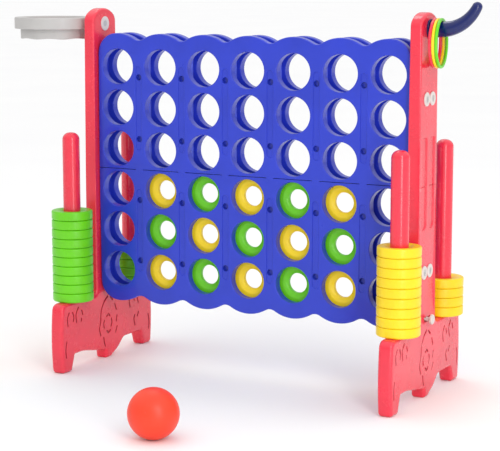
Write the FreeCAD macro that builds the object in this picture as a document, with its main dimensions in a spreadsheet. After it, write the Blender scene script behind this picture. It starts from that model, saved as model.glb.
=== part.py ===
import FreeCAD, Part
import math
import os
import Sketcher
from FreeCAD import Placement, Rotation, Vector

# Giant four in a row: an upright board of seven columns and six rows between two
# posts on feet, with storage pegs, a basket hoop, a ring hook, toss rings and a ball.
# Origin: on the floor, midway between the feet, on the board's middle plane.
# +X along the board to the ring hook, +Y to the back, +Z up. Millimetres.

COLUMNS = 7
ROWS = 6
FILLED_COLUMNS = (-2, -1, 0, 1, 2)
FILLED_ROWS = (4, 5, 6)
SIDES = {"left": -1, "right": 1}
DEPTHS = {"front": -1, "back": 1}

# Each peg's stack: depth, side, discs kept as one node, discs above them on their own.
STACKS = (("front", "left", 8, 2), ("back", "left", 3, 1), ("front", "right", 7, 2), ("back", "right", 3, 1))

SIZES = [
    ("column_pitch", 143.0, "distance between column centres"),
    ("row_pitch", 120.0, "distance between row centres"),
    ("top_row_height", 887.0, "top row centre above the floor"),
    ("hole_radius", 52.0, "window in a panel"),
    ("board_half_width", 495.0, "middle of the board to its end"),
    ("panel_thickness", 26.0, "one panel"),
    ("disc_gap", 31.0, "space between the two panels"),
    ("scallop_radius", 110.0, "crest of the wavy edge"),
    ("scallop_crest", 97.0, "crest above its row centre"),
    ("scallop_blend", 30.0, "hollow between two crests"),
    ("board_corner", 60.0, "rounded corner of the board"),
    ("rim_chamfer", 4.0, "bevel round each window"),
    ("seam_gap", 1.6, "groove between upper and lower panels"),
    ("tab_width", 22.0, "locating tab across the seam"),
    ("tab_depth", 10.0, "reach of a locating tab"),
    ("flute_width", 19.0, "shallow channel down a divider"),
    ("flute_reach", 123.0, "half length of the channel"),
    ("flute_depth", 1.5, "depth of the channel"),
    ("recess_radius", 9.2, "screw recess in a panel"),
    ("recess_depth", 8.0, "screw recess in a panel"),
    ("screw_rise", 90.0, "screws above and below the middle row"),
    ("screw_radius", 2.5, "panel screw"),
    ("screw_head", 4.5, "radius of a panel screw's head"),
    ("screw_head_height", 3.5, "thickness of a panel screw's head"),
    ("screw_bite", 12.0, "panel screw's reach into the front panel"),
    ("end_bore", 45.0, "bore in a panel's end for a post screw"),
    ("divider_width", 18.0, "bar between two columns"),
    ("end_strip", 3.5, "strip's reach into the end of the board"),
    ("divider_drop", 32.0, "crest to the top of the bars"),
    ("divider_rise", 1.3, "slider to the foot of the bars"),
    ("strip_rise", 24.5, "foot's shoulder to the lower end of an end strip"),
    ("post_inner", 497.0, "middle plane to the post's inner face"),
    ("post_thickness", 34.0, "post, along the board"),
    ("post_depth", 124.0, "post, front to back"),
    ("post_top", 1055.0, "top of the posts"),
    ("crown_rise", 40.0, "height of a post's domed top"),
    ("crown_corner", 30.0, "rounded sides of the domed top"),
    ("post_edge", 7.0, "rounded long edges of a post"),
    ("post_wall", 8.0, "wall round the socket for the tongue"),
    ("tongue_half", 42.0, "tongue, middle to its side"),
    ("tongue_height", 110.0, "tongue above the joint"),
    ("channel_middle", 27.0, "sunk channel on a post to the middle plane"),
    ("channel_radius", 19.0, "half the width of a sunk channel"),
    ("channel_low", 487.0, "centre of a channel's round lower end"),
    ("channel_high", 721.0, "flat top of a channel"),
    ("channel_depth", 4.0, "depth of a sunk channel"),
    ("post_seam", 587.0, "joint between lower leg and upper post"),
    ("foot_inner", 496.0, "middle plane to the foot's inner face"),
    ("foot_thickness", 41.0, "foot, along the board"),
    ("foot_half_depth", 253.5, "foot, middle to its end"),
    ("foot_edge", 9.0, "rounded edges of a foot"),
    ("shoulder_height", 205.0, "top of the foot beside the post"),
    ("arch_height", 47.0, "arches under the foot"),
    ("toe_run", 57.0, "length of a toe at its rounded sole"),
    ("toe_bow", 5.0, "bulge of the foot's ends"),
    ("bow_height", 92.0, "widest point of the foot's ends"),
    ("lobe_front", 13.0, "middle lobe, middle to its upright front"),
    ("lobe_back", 14.0, "middle lobe, middle to the back of its sole"),
    ("lobe_step", 25.0, "height of the lobe's upright front"),
    ("peg_offset", 160.0, "peg in front of or behind the middle plane"),
    ("peg_radius", 25.7, "storage peg"),
    ("peg_top", 700.0, "top of a peg"),
    ("peg_dome", 21.0, "rounded top of a peg"),
    ("spigot_radius", 12.0, "peg's root inside the foot"),
    ("spigot_length", 35.0, "peg's root inside the foot"),
    ("disc_radius", 59.7, "playing disc"),
    ("disc_bore", 28.5, "hole through a disc"),
    ("disc_thickness", 26.5, "playing disc"),
    ("disc_round", 7.0, "rounded rim of a disc"),
    ("stack_pitch", 26.8, "height of one disc in a stack"),
    ("slider_bottom", 214.7, "underside of the release slider"),
    ("slider_height", 12.0, "release slider"),
    ("slider_half_width", 22.5, "release slider, middle to its side"),
    ("rail_inset", 15.8, "middle to the inner side of a rail"),
    ("rung_width", 20.0, "bar under each column"),
    ("slider_clearance", 0.5, "room round the slider"),
    ("slider_start", 445.0, "slider's left end"),
    ("slider_end", 546.0, "slider's right end"),
    ("stem_radius", 4.5, "stem of the slider's knob"),
    ("collar_radius", 6.0, "collar behind the slider's knob"),
    ("knob_radius", 14.0, "slider's knob"),
    ("knob_thickness", 7.0, "slider's knob"),
    ("cap_radius", 19.0, "white screw cap"),
    ("cap_height", 4.0, "white screw cap"),
    ("cap_dimple", 1.2, "hollow in a white screw cap"),
    ("bolt_room", 3.1, "bore for a post screw"),
    ("seat_room", 9.5, "counterbore for a post screw's head"),
    ("seat_depth", 8.0, "counterbore for a post screw's head"),
    ("post_screw", 3.0, "shank of a post screw"),
    ("post_screw_reach", 30.0, "post screw's reach past the post"),
    ("post_screw_head", 8.0, "radius of a post screw's head"),
    ("post_head_height", 5.0, "thickness of a post screw's head"),
    ("cap_spacing", 20.5, "cap to the middle plane"),
    ("upper_cap_height", 824.0, "upper pair of caps"),
    ("lower_cap_height", 352.0, "lower pair of caps"),
    ("accessory_height", 1010.0, "hoop bolt and hook above the floor"),
    ("bolt_radius", 5.0, "bolt that holds the hoop or the hook"),
    ("bolt_bore", 5.1, "bore for that bolt"),
    ("bolt_seat", 11.0, "counterbore for that bolt's head"),
    ("bolt_head", 9.0, "radius of that bolt's head"),
    ("bolt_head_height", 5.5, "thickness of that bolt's head"),
    ("bolt_inset", 6.0, "post's inner face to the underside of that bolt's head"),
    ("bolt_cap", 21.0, "cap over that bolt's head"),
    ("bolt_cap_height", 2.0, "cap over that bolt's head"),
    ("hoop_radius", 124.0, "outside of the hoop's rim"),
    ("skirt_radius", 106.5, "outside of the hoop's skirt"),
    ("hoop_wall", 4.5, "wall of the hoop"),
    ("hoop_top", 1027.0, "top of the hoop"),
    ("hoop_rim_height", 34.0, "height of the hoop's rim"),
    ("hoop_skirt_height", 30.0, "skirt below the rim"),
    ("hoop_standoff", 14.0, "post to the hoop's rim"),
    ("plate_half", 26.0, "hoop's wall plate, middle to its side"),
    ("plate_thickness", 6.0, "hoop's wall plate"),
    ("arm_half", 20.0, "arm between plate and hoop, middle to its side"),
    ("hook_radius", 21.5, "hook at its root"),
    ("hook_tip_radius", 14.0, "hook at its tip"),
    ("hook_straight", 34.0, "level part of the hook"),
    ("hook_bend", 108.0, "radius of the hook's curve"),
    ("hook_sweep", 63.5, "angle of the hook's curve in degrees"),
    ("flange_lip", 6.0, "hook's flange beyond its root"),
    ("flange_thickness", 5.0, "hook's flange"),
    ("hook_bore", 30.0, "depth of the bolt's bore in the hook"),
    ("ring_radius", 63.0, "toss ring, middle of its section"),
    ("ring_section", 4.15, "radius of a toss ring's section"),
    ("ring_offset", 13.8, "post to the first ring"),
    ("ring_step", 9.1, "ring to ring"),
    ("ring_yaw", 8.0, "turn of the hanging rings in degrees"),
    ("ring_gap", 0.3, "hook to the ring that hangs on it"),
    ("ball_radius", 66.5, "play ball"),
    ("ball_side", 82.0, "ball to the right of the middle"),
    ("ball_front", 704.0, "ball in front of the middle plane"),
]

doc = FreeCAD.newDocument("GiantFourInARow")
sheet = doc.addObject("Spreadsheet::Sheet", "Sizes")
for line, (alias, value, note) in enumerate(SIZES, start=1):
    sheet.set(f"A{line}", alias)
    sheet.set(f"B{line}", str(value))
    sheet.setAlias(f"B{line}", alias)
    sheet.set(f"C{line}", note)
doc.recompute()

nodes = []


def size(alias):
    """Value of one named cell of the sheet."""
    return float(sheet.get(alias))


def node(item, label):
    """Names a finished sub-part and puts it on the list of exported nodes."""
    item.Label = label
    nodes.append(item)
    return item


def bind(item, **formulas):
    """Binds properties to formulas, in which # stands for the sheet."""
    for name, formula in formulas.items():
        item.setExpression(name.replace("__", "."), formula.replace("#", "Sizes."))
    return item


def row_height(row):
    """Height of a row's centre; row 1 is the top one."""
    return size("top_row_height") - (row - 1) * size("row_pitch")


def divider_places():
    """The x of each bar between two columns."""
    half = COLUMNS / 2 - 1
    return [(index - half) * size("column_pitch") for index in range(COLUMNS - 1)]


# --- Primitives whose sizes are bound to the sheet ---------------------------------

def box(name, low, high):
    """A block between two corners, each a triple of formulas."""
    item = doc.addObject("Part::Box", name)
    for axis, side, start, end in zip("xyz", ("Length", "Width", "Height"), low, high):
        bind(item, **{f"Placement__Base__{axis}": start, side: f"({end}) - ({start})"})
    return item


AXIS_TURNS = {
    "z": Rotation(),
    "x": Rotation(Vector(0, 1, 0), 90),
    "-x": Rotation(Vector(0, 1, 0), -90),
    "y": Rotation(Vector(1, 0, 0), -90),
    "-y": Rotation(Vector(1, 0, 0), 90),
}


def cylinder(name, radius, height, start, axis="z"):
    """A round bar from a start point along an axis."""
    item = doc.addObject("Part::Cylinder", name)
    item.Placement = Placement(Vector(), AXIS_TURNS[axis])
    bind(item, Radius=radius, Height=height)
    for letter, place in zip("xyz", start):
        bind(item, **{f"Placement__Base__{letter}": place})
    return item


def fuse(name, shapes):
    item = doc.addObject("Part::MultiFuse", name)
    item.Shapes = shapes
    item.Refine = True
    return item


def cut(name, base, tools):
    item = doc.addObject("Part::Cut", name)
    item.Base = base
    item.Tool = tools[0] if len(tools) == 1 else compound(f"{name}_tools", tools)
    return item


def compound(name, items):
    item = doc.addObject("Part::Compound", name)
    item.Links = items
    return item


# --- PartDesign helpers ------------------------------------------------------------

def new_sketch(body, name, role, offset=None):
    """A sketch on one of the body's own origin planes, moved along its normal."""
    sketch = body.newObject("Sketcher::SketchObject", name)
    plane = next(f for f in body.Origin.OriginFeatures if f.Role == role)
    sketch.AttachmentSupport = [(plane, "")]
    sketch.MapMode = "FlatFace"
    if offset:
        bind(sketch, AttachmentOffset__Base__z=offset)
    return sketch


def pad(body, sketch, length, reverse=False):
    feature = body.newObject("PartDesign::Pad", f"{sketch.Name}_pad")
    feature.Profile = sketch
    feature.Reversed = reverse
    bind(feature, Length=length)
    return feature


def pocket(body, sketch, length, reverse=False):
    """A pocket that must take material away."""
    doc.recompute()
    before = body.Shape.Volume
    feature = body.newObject("PartDesign::Pocket", f"{sketch.Name}_pocket")
    feature.Profile = sketch
    feature.Reversed = reverse
    bind(feature, Length=length)
    doc.recompute()
    if body.Shape.Volume > before - 1.0:
        raise RuntimeError(f"{feature.Name} cuts nothing")
    return feature


def dress(body, kind, name, chosen, prop, formula):
    """A fillet or chamfer on the edges of the body's tip that pass a test."""
    doc.recompute()
    tip = body.Tip
    picked = [f"Edge{i}" for i, edge in enumerate(tip.Shape.Edges, start=1) if chosen(edge)]
    feature = body.newObject(f"PartDesign::{kind}", name)
    feature.Base = (tip, picked)
    bind(feature, **{prop: formula})
    return feature


def revolved(body, sketch):
    feature = body.newObject("PartDesign::Revolution", f"{sketch.Name}_turn")
    feature.Profile = sketch
    feature.ReferenceAxis = (sketch, ["V_Axis"])
    feature.Angle = 360.0
    return feature


def draw_path(sketch, points):
    """Closed outline; a point may be (x, y) or (x, y, middle_x, middle_y) for an arc to it."""
    last = points[-1][:2]
    for point in points:
        start = Vector(last[0], last[1], 0)
        end = Vector(point[0], point[1], 0)
        if len(point) == 4:
            middle = Vector(point[2], point[3], 0)
            sketch.addGeometry(Part.Arc(start, middle, end))
        else:
            sketch.addGeometry(Part.LineSegment(start, end))
        last = point[:2]


def draw_circle(sketch, x, y, radius):
    """A circle whose radius follows the sheet."""
    value = size(radius)
    index = sketch.addGeometry(Part.Circle(Vector(x, y, 0), Vector(0, 0, 1), value))
    rule = sketch.addConstraint(Sketcher.Constraint("Radius", index, value))
    sketch.setExpression(f"Constraints[{rule}]", f"Sizes.{radius}")


def draw_slot(sketch, x, low, high, width):
    """An upright slot with round ends."""
    half = width / 2
    draw_path(sketch, [
        (x - half, low + half),
        (x + half, low + half, x, low),
        (x + half, high - half),
        (x - half, high - half, x, high),
    ])


def corner_arc(sketch, x, y, run_x, run_y):
    """The waste outside a rounded corner: out past the corner, with an arc back."""
    bow = 1 - math.sqrt(0.5)
    draw_path(sketch, [
        (x + run_x, y),
        (x, y + run_y, x + bow * run_x, y + bow * run_y),
        (x - run_x, y + run_y),
        (x - run_x, y - run_y),
        (x + run_x, y - run_y),
    ])


# --- Board panels ------------------------------------------------------------------

def wavy_edge():
    """Crests over the columns and hollows between them, left to right, above a row centre."""
    pitch = size("column_pitch")
    radius = size("scallop_radius")
    blend = size("scallop_blend")
    corner = size("board_corner")
    end = size("board_half_width")
    centre = size("scallop_crest") - radius
    last = (COLUMNS - 1) / 2 * pitch
    corner_x = end - corner
    corner_y = centre + math.sqrt((radius - corner) ** 2 - (corner_x - last) ** 2)
    reach = radius / (radius - corner)
    touch = (last + (corner_x - last) * reach, centre + (corner_y - centre) * reach)
    turn = (corner_x + corner * math.cos(0.25 * math.pi), corner_y + corner * math.sin(0.25 * math.pi))
    hollow = math.sqrt((radius + blend) ** 2 - (pitch / 2) ** 2)
    side = pitch / 2 * radius / (radius + blend)
    rise = centre + hollow * radius / (radius + blend)
    edge = [(-end, corner_y), (-touch[0], touch[1], -turn[0], turn[1])]
    for index in range(COLUMNS):
        x = (index - (COLUMNS - 1) / 2) * pitch
        if index < COLUMNS - 1:
            edge.append((x + side, rise, x, centre + radius))
            edge.append((x + pitch - side, rise, x + pitch / 2, centre + hollow - blend))
        else:
            edge.append((touch[0], touch[1], x, centre + radius))
    edge.append((end, corner_y, turn[0], turn[1]))
    return edge


def panel_outline(upper):
    """Half a board: wavy outside edge, straight seam edge with locating tabs or notches."""
    end = size("board_half_width")
    seam = size("post_seam")
    half_tab = size("tab_width") / 2
    gap = size("seam_gap") / 2
    reach = size("tab_depth")
    seam_edge = seam + gap if upper else seam - gap
    tab_edge = seam - reach if upper else seam - reach - size("seam_gap")
    clearance = 0.0 if upper else 0.3
    row = row_height(1) if upper else row_height(ROWS)
    flip = 1 if upper else -1
    outline = [(point[0], row + flip * point[1], *([point[2], row + flip * point[3]] if point[2:] else []))
               for point in wavy_edge()]
    outline.append((end, seam_edge))
    for x in reversed(divider_places()):
        outline.append((x + half_tab + clearance, seam_edge))
        outline.append((x + half_tab + clearance, tab_edge))
        outline.append((x - half_tab - clearance, tab_edge))
        outline.append((x - half_tab - clearance, seam_edge))
    outline.append((-end, seam_edge))
    return outline


def make_panel(depth, upper):
    """One of the four panels, with windows, flutes, screw recesses and the slider's groove."""
    half = "upper" if upper else "lower"
    body = doc.addObject("PartDesign::Body", f"{depth}_{half}_blank")
    sign = DEPTHS[depth]
    inner = "#disc_gap / 2"
    outer = "#disc_gap / 2 + #panel_thickness"
    middle_row = row_height(2 if upper else 5)
    flip = -sign
    outside = f"{flip} * ({outer})"
    outline = new_sketch(body, f"{body.Name}_outline", "XZ_Plane", outside)
    draw_path(outline, panel_outline(upper))
    for column in range(COLUMNS):
        x = (column - (COLUMNS - 1) / 2) * size("column_pitch")
        for step in (-1, 0, 1):
            draw_circle(outline, x, middle_row + step * size("row_pitch"), "hole_radius")
    pad(body, outline, "#panel_thickness", reverse=sign < 0)
    face_y = sign * (size("disc_gap") / 2 + size("panel_thickness"))

    def is_rim(edge):
        curve = edge.Curve
        round_edge = isinstance(curve, Part.Circle) and abs(curve.Radius - size("hole_radius")) < 0.01
        return round_edge and abs(curve.Center.y - face_y) < 0.01

    dress(body, "Chamfer", f"{body.Name}_rims", is_rim, "Size", "#rim_chamfer")
    flutes = new_sketch(body, f"{body.Name}_flutes", "XZ_Plane", outside)
    for x in divider_places():
        reach = size("flute_reach")
        draw_slot(flutes, x, middle_row - reach, middle_row + reach, size("flute_width"))
    pocket(body, flutes, "#flute_depth", reverse=sign > 0)
    holes = new_sketch(body, f"{body.Name}_recesses", "XZ_Plane", outside)
    bores = new_sketch(body, f"{body.Name}_bores", "XZ_Plane", outside)
    for x in divider_places():
        for step in (-1, 1):
            height = middle_row + step * size("screw_rise")
            place, up = Vector(x, height, 0), Vector(0, 0, 1)
            holes.addGeometry(Part.Circle(place, up, size("recess_radius")))
            bores.addGeometry(Part.Circle(place, up, size("screw_radius") + 0.1))
    pocket(body, holes, "#recess_depth", reverse=sign > 0)
    pocket(body, bores, "#panel_thickness", reverse=sign > 0)
    if not upper:
        groove = new_sketch(body, f"{body.Name}_groove", "YZ_Plane", "-#board_half_width")
        room = size("slider_clearance")
        low = size("slider_bottom") - room
        high = size("slider_bottom") + size("slider_height") + room
        start = sign * (size("disc_gap") / 2 - 1)
        end = sign * (size("slider_half_width") + room)
        draw_path(groove, [(start, low), (end, low), (end, high), (start, high)])
        pocket(body, groove, "2 * #board_half_width", reverse=True)
    side_bores = []
    height = size("upper_cap_height") if upper else size("lower_cap_height")
    for side in SIDES.values():
        place = (f"{side} * (#board_half_width + 1)", f"{sign} * #cap_spacing", f"{height}")
        inward = "-x" if side > 0 else "x"
        side_bores.append(cylinder(f"{body.Name}_end_bore", "#bolt_room", "#end_bore", place, inward))
    return node(cut(f"{body.Name}_piece", body, side_bores), f"{depth}_{half}_panel")


def make_dividers():
    """Bars that keep the discs in their columns, and a strip at each end of the board."""
    bars = []
    low = "#slider_bottom + #slider_height + #divider_rise"
    high = "#top_row_height + #scallop_crest - #divider_drop"
    for number, x in enumerate(divider_places(), start=1):
        bar = box(f"divider_bar_{number}", (f"{x} - #divider_width / 2", "-#disc_gap / 2", low),
                  (f"{x} + #divider_width / 2", "#disc_gap / 2", high))
        head = cylinder(f"divider_head_{number}", "#divider_width / 2", "#disc_gap",
                        (f"{x}", "-#disc_gap / 2", high), "y")
        bores = []
        for middle in (row_height(2), row_height(5)):
            for step in (-1, 1):
                place = (f"{x}", "-#disc_gap / 2 - 1", f"{middle} + {step} * #screw_rise")
                bore = cylinder(f"divider_bore_{number}", "#screw_radius + 0.1", "#disc_gap + 2", place, "y")
                bores.append(bore)
        bars.append(cut(f"divider_{number}", fuse(f"divider_blank_{number}", [bar, head]), bores))
    for side in SIDES.values():
        inside, outside = "#board_half_width - #end_strip", "#post_inner"
        start, end = (inside, outside) if side > 0 else (f"-{outside}", f"-({inside})")
        bars.append(box("end_strip", (start, "-#disc_gap / 2", "#shoulder_height + #strip_rise"),
                        (end, "#disc_gap / 2", high)))
    return node(compound("dividers", bars), "column_dividers")


def make_panel_screws():
    """Screws put in from the back that clamp the two panels on the dividers."""
    screws = []
    back = "#disc_gap / 2 + #panel_thickness - #recess_depth"
    for x in divider_places():
        for middle in (row_height(2), row_height(5)):
            for step in (-1, 1):
                place = (f"{x}", back, f"{middle} + {step} * #screw_rise")
                reach = f"{back} + #disc_gap / 2 + #screw_bite"
                shank = cylinder("screw_shank", "#screw_radius", reach, place, "-y")
                head = cylinder("screw_head", "#screw_head", "#screw_head_height", place, "y")
                screws.append(fuse("panel_screw", [shank, head]))
    return node(compound("screws", screws), "panel_screws")


# --- Legs, posts and pegs ----------------------------------------------------------

def foot_outline():
    """Side view of a foot and lower post: toes, two arches, a lobe between them and the post."""
    half = size("foot_half_depth") - size("toe_bow")
    shoulder = size("shoulder_height")
    arch = size("arch_height")
    post = size("post_depth") / 2
    seam = size("post_seam")
    toe = half - size("toe_run") + size("toe_bow")
    step = size("lobe_step")
    sole, crest, neck = 11.0, 22.0, 10.0
    ends = [
        (toe - 18, arch),
        (toe - 11, arch - 8, toe - 13, arch - 2),
        (toe, sole - 2),
        (toe + 9, 0.0, toe + 2, 3.0),
        (half - sole, 0.0),
        (half, sole, half - 3.2, 3.2),
        (half, shoulder - crest, half + size("toe_bow"), size("bow_height")),
        (half - crest, shoulder, half - 6.4, shoulder - 6.4),
        (post + neck + 2, shoulder),
        (post, shoulder + neck + 2, post + 3.5, shoulder + 3.5),
        (post, seam),
    ]
    back_lobe = [
        (size("lobe_back"), 0.0),
        (size("lobe_back") + 9, 5.0, size("lobe_back") + 5, 1.4),
        (77.0, arch - 9, 54.0, 19.5),
        (97.0, arch, 86.0, arch - 3),
    ]
    front_lobe = [
        (size("lobe_front") - 4, 0.0),
        (size("lobe_front"), 4.0, size("lobe_front") - 1.2, 1.2),
        (size("lobe_front") + 2, step - 6),
        (size("lobe_front") + 9, step + 1, size("lobe_front") + 3.6, step - 1),
        (107.0, arch - 5, 65.0, arch - 13),
        (142.0, arch, 124.0, arch - 2),
    ]
    return mirrored(front_lobe + ends) + back_lobe + ends


def mirrored(outline):
    """The same open outline on the other side of the upright axis, drawn the other way."""
    flipped = []
    for index in range(len(outline) - 1, -1, -1):
        point = outline[index]
        after = outline[index + 1] if index + 1 < len(outline) else ()
        middle = (-after[2], after[3]) if len(after) == 4 else ()
        flipped.append((-point[0], point[1], *middle))
    return flipped


def channels(side, low, high, rounded):
    """Cutters for the two sunk channels on a post's outer face, between two heights."""
    near, far = "#post_inner + #post_thickness - #channel_depth", "#post_inner + #post_thickness + 1"
    start, end = (near, far) if SIDES[side] > 0 else (f"-({far})", f"-({near})")
    tools = []
    for depth in DEPTHS.values():
        middle = f"{depth} * #channel_middle"
        tools.append(box(f"{side}_channel", (start, f"{middle} - #channel_radius", low),
                         (end, f"{middle} + #channel_radius", high)))
        if rounded:
            tools.append(cylinder(f"{side}_channel_end", "#channel_radius", "#channel_depth + 1",
                                  (start, middle, low), "x"))
    return tools


def make_leg(side):
    """Foot and lower post in one moulding, with peg bores, a tongue and relief grooves."""
    sign = SIDES[side]
    body = doc.addObject("PartDesign::Body", f"{side}_leg_blank")
    start = "#foot_inner" if sign > 0 else "-#foot_inner - #foot_thickness"
    outline = new_sketch(body, f"{side}_leg_outline", "YZ_Plane", start)
    draw_path(outline, foot_outline())
    pad(body, outline, "#foot_thickness")
    rounding = new_sketch(body, f"{side}_leg_rounding", "XY_Plane")
    near, far = sorted(sign * (size("foot_inner") + step * size("foot_thickness")) for step in (0, 1))
    radius, half = size("foot_edge"), size("foot_half_depth")
    for x, inward in ((near, 1), (far, -1)):
        for y, back in ((-half, 1), (half, -1)):
            corner_arc(rounding, x, y, inward * radius, back * radius)
    pocket(body, rounding, "#shoulder_height + 1", reverse=True)
    grow = "#foot_thickness + 2"
    outer = "(#post_inner + #post_thickness)"
    tools = []
    for depth in DEPTHS.values():
        tools.append(cylinder(f"{side}_peg_bore", "#spigot_radius + 0.1", "#spigot_length + 1",
                              (f"{sign} * (#foot_inner + #foot_thickness / 2)", f"{depth} * #peg_offset",
                               "#shoulder_height - #spigot_length - 0.5")))
        tools.append(fastener_bore(side, depth, "#lower_cap_height"))
    high = "#post_seam + 1"
    step = "#shoulder_height + #strip_rise - 0.5"
    shave_out = (outer, f"{outer} + {grow}") if sign > 0 else (f"-{outer} - {grow}", f"-{outer}")
    shave_in = ("#foot_inner - 2", "#post_inner") if sign > 0 else ("-#post_inner", "-#foot_inner + 2")
    for start_x, end_x in (shave_out, shave_in):
        tools.append(box(f"{side}_leg_shave", (start_x, "-#post_depth / 2 - 12", step),
                         (end_x, "#post_depth / 2 + 12", high)))
    if sign > 0:
        room = "#slider_half_width + #slider_clearance"
        floor = "#slider_bottom - #slider_clearance"
        roof = "#slider_bottom + #slider_height + #slider_clearance"
        near, far = ("#foot_inner - 2", f"-({room})", floor), (f"{outer} + 20", room, roof)
        tools.append(box("slider_slot", near, far))
    tools += channels(side, "#channel_low", "#post_seam + 1", True)
    trimmed = cut(f"{side}_leg_trim", body, tools)
    low_x, high_x = socket_walls(sign)
    tongue = box(f"{side}_tongue", (low_x, "-#tongue_half", "#post_seam - 1"),
                 (high_x, "#tongue_half", "#post_seam + #tongue_height"))
    return node(fuse(f"{side}_leg_piece", [trimmed, tongue]), f"{side}_leg")


def socket_walls(sign):
    """The two sides of the tongue that joins a leg to its upper post, along the board."""
    if sign > 0:
        return "#post_inner + #post_wall", "#post_inner + #post_thickness - #post_wall"
    return "-#post_inner - #post_thickness + #post_wall", "-#post_inner - #post_wall"


def fastener_bore(side, depth, height):
    """Counterbored hole through a post for the screw that holds one panel."""
    sign = SIDES[side]
    outer = f"{sign} * (#post_inner + #post_thickness)"
    place = f"{depth} * #cap_spacing"
    inward = "-x" if sign > 0 else "x"
    start = (f"{outer} + {sign}", place, height)
    shank = cylinder(f"{side}_bore", "#bolt_room", "#post_thickness + 2", start, inward)
    seat = cylinder(f"{side}_seat", "#seat_room", "#seat_depth + 1", start, inward)
    return fuse(f"{side}_fastener_bore", [shank, seat])


def make_upper_post(side):
    """Upper post with a crowned top, a socket for the leg's tongue and the accessory bore."""
    sign = SIDES[side]
    body = doc.addObject("PartDesign::Body", f"{side}_post_blank")
    start = "#post_inner" if sign > 0 else "-#post_inner - #post_thickness"
    outline = new_sketch(body, f"{side}_post_outline", "YZ_Plane", start)
    half, top = size("post_depth") / 2, size("post_top")
    rise, corner = size("crown_rise"), size("crown_corner")
    run = half - corner
    crown = (run ** 2 + rise ** 2 - corner ** 2) / (2 * (rise - corner))
    touch_y = run * crown / (crown - corner)
    touch_z = top - crown + (crown - rise) * crown / (crown - corner)
    turn = math.atan2(crown - rise, run) / 2
    bow_y, bow_z = run + corner * math.cos(turn), top - rise + corner * math.sin(turn)
    draw_path(outline, [
        (-half, size("post_seam")),
        (half, size("post_seam")),
        (half, top - rise),
        (touch_y, touch_z, bow_y, bow_z),
        (-touch_y, touch_z, 0, top),
        (-half, top - rise, -bow_y, bow_z),
    ])
    pad(body, outline, "#post_thickness")

    def long_edges(edge):
        flat = all(abs(vertex.X - edge.Vertexes[0].X) < 0.01 for vertex in edge.Vertexes)
        at_seam = max(vertex.Z for vertex in edge.Vertexes) < size("post_seam") + 0.1
        return flat and not at_seam

    dress(body, "Fillet", f"{side}_post_edges", long_edges, "Radius", "#post_edge")
    tools = [fastener_bore(side, depth, "#upper_cap_height") for depth in DEPTHS.values()]
    tools += channels(side, "#post_seam - 1", "#channel_high", False)
    low_x, high_x = socket_walls(sign)
    tools.append(box(f"{side}_socket", (low_x, "-#tongue_half", "#post_seam - 1"),
                     (high_x, "#tongue_half", "#post_seam + #tongue_height + 2")))
    outward = "x" if sign > 0 else "-x"
    place = (f"{sign} * (#post_inner - 2)", "0", "#accessory_height")
    tools.append(cylinder(f"{side}_accessory_bore", "#bolt_bore", "#post_thickness + 4", place, outward))
    tools.append(cylinder(f"{side}_accessory_seat", "#bolt_seat", "#seat_depth", place, outward))
    return node(cut(f"{side}_post_piece", body, tools), f"{side}_upper_post")


def make_post_fasteners(side):
    """Screws through the post into the panels, and the white caps over their heads."""
    sign = SIDES[side]
    inward, outward = ("-x", "x") if sign > 0 else ("x", "-x")
    screws, caps = [], []
    for height in ("#upper_cap_height", "#lower_cap_height"):
        for depth in DEPTHS.values():
            place = f"{depth} * #cap_spacing"
            face = f"{sign} * (#post_inner + #post_thickness)"
            seat = f"{face} - {sign} * #seat_depth"
            shank = cylinder("shank", "#post_screw", "#post_thickness + #post_screw_reach",
                             (seat, place, height), inward)
            head = cylinder("head", "#post_screw_head", "#post_head_height", (seat, place, height), outward)
            screws.append(fuse("post_screw", [shank, head]))
            cap = cylinder("cap_blank", "#cap_radius", "#cap_height", (face, place, height), outward)
            front = (f"{face} + {sign} * #cap_height", place, height)
            dimple = cylinder("cap_dimple", "#cap_radius * 0.45", "#cap_dimple", front, inward)
            caps.append(cut("cap", cap, [dimple]))
    node(compound(f"{side}_screws", screws), f"{side}_post_screws")
    node(compound(f"{side}_caps", caps), f"{side}_screw_caps")


def make_peg(side, depth):
    """A storage peg with a rounded top and a spigot that seats in the foot."""
    body = doc.addObject("PartDesign::Body", f"{depth}_{side}_peg_body")
    profile = new_sketch(body, f"{depth}_{side}_peg_profile", "XZ_Plane")
    radius, dome, root = size("peg_radius"), size("peg_dome"), size("spigot_radius")
    height = size("peg_top") - size("shoulder_height")
    bow = dome * (1 - math.sqrt(0.5))
    draw_path(profile, [
        (0, -size("spigot_length")),
        (root, -size("spigot_length")),
        (root, 0),
        (radius, 0),
        (radius, height - dome),
        (radius - dome, height, radius - bow, height - bow),
        (0, height),
    ])
    revolved(body, profile)
    bind(body, Placement__Base__x=f"{SIDES[side]} * (#foot_inner + #foot_thickness / 2)",
         Placement__Base__y=f"{DEPTHS[depth]} * #peg_offset", Placement__Base__z="#shoulder_height")
    return node(body, f"{depth}_{side}_peg")


# --- Discs -------------------------------------------------------------------------

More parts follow.
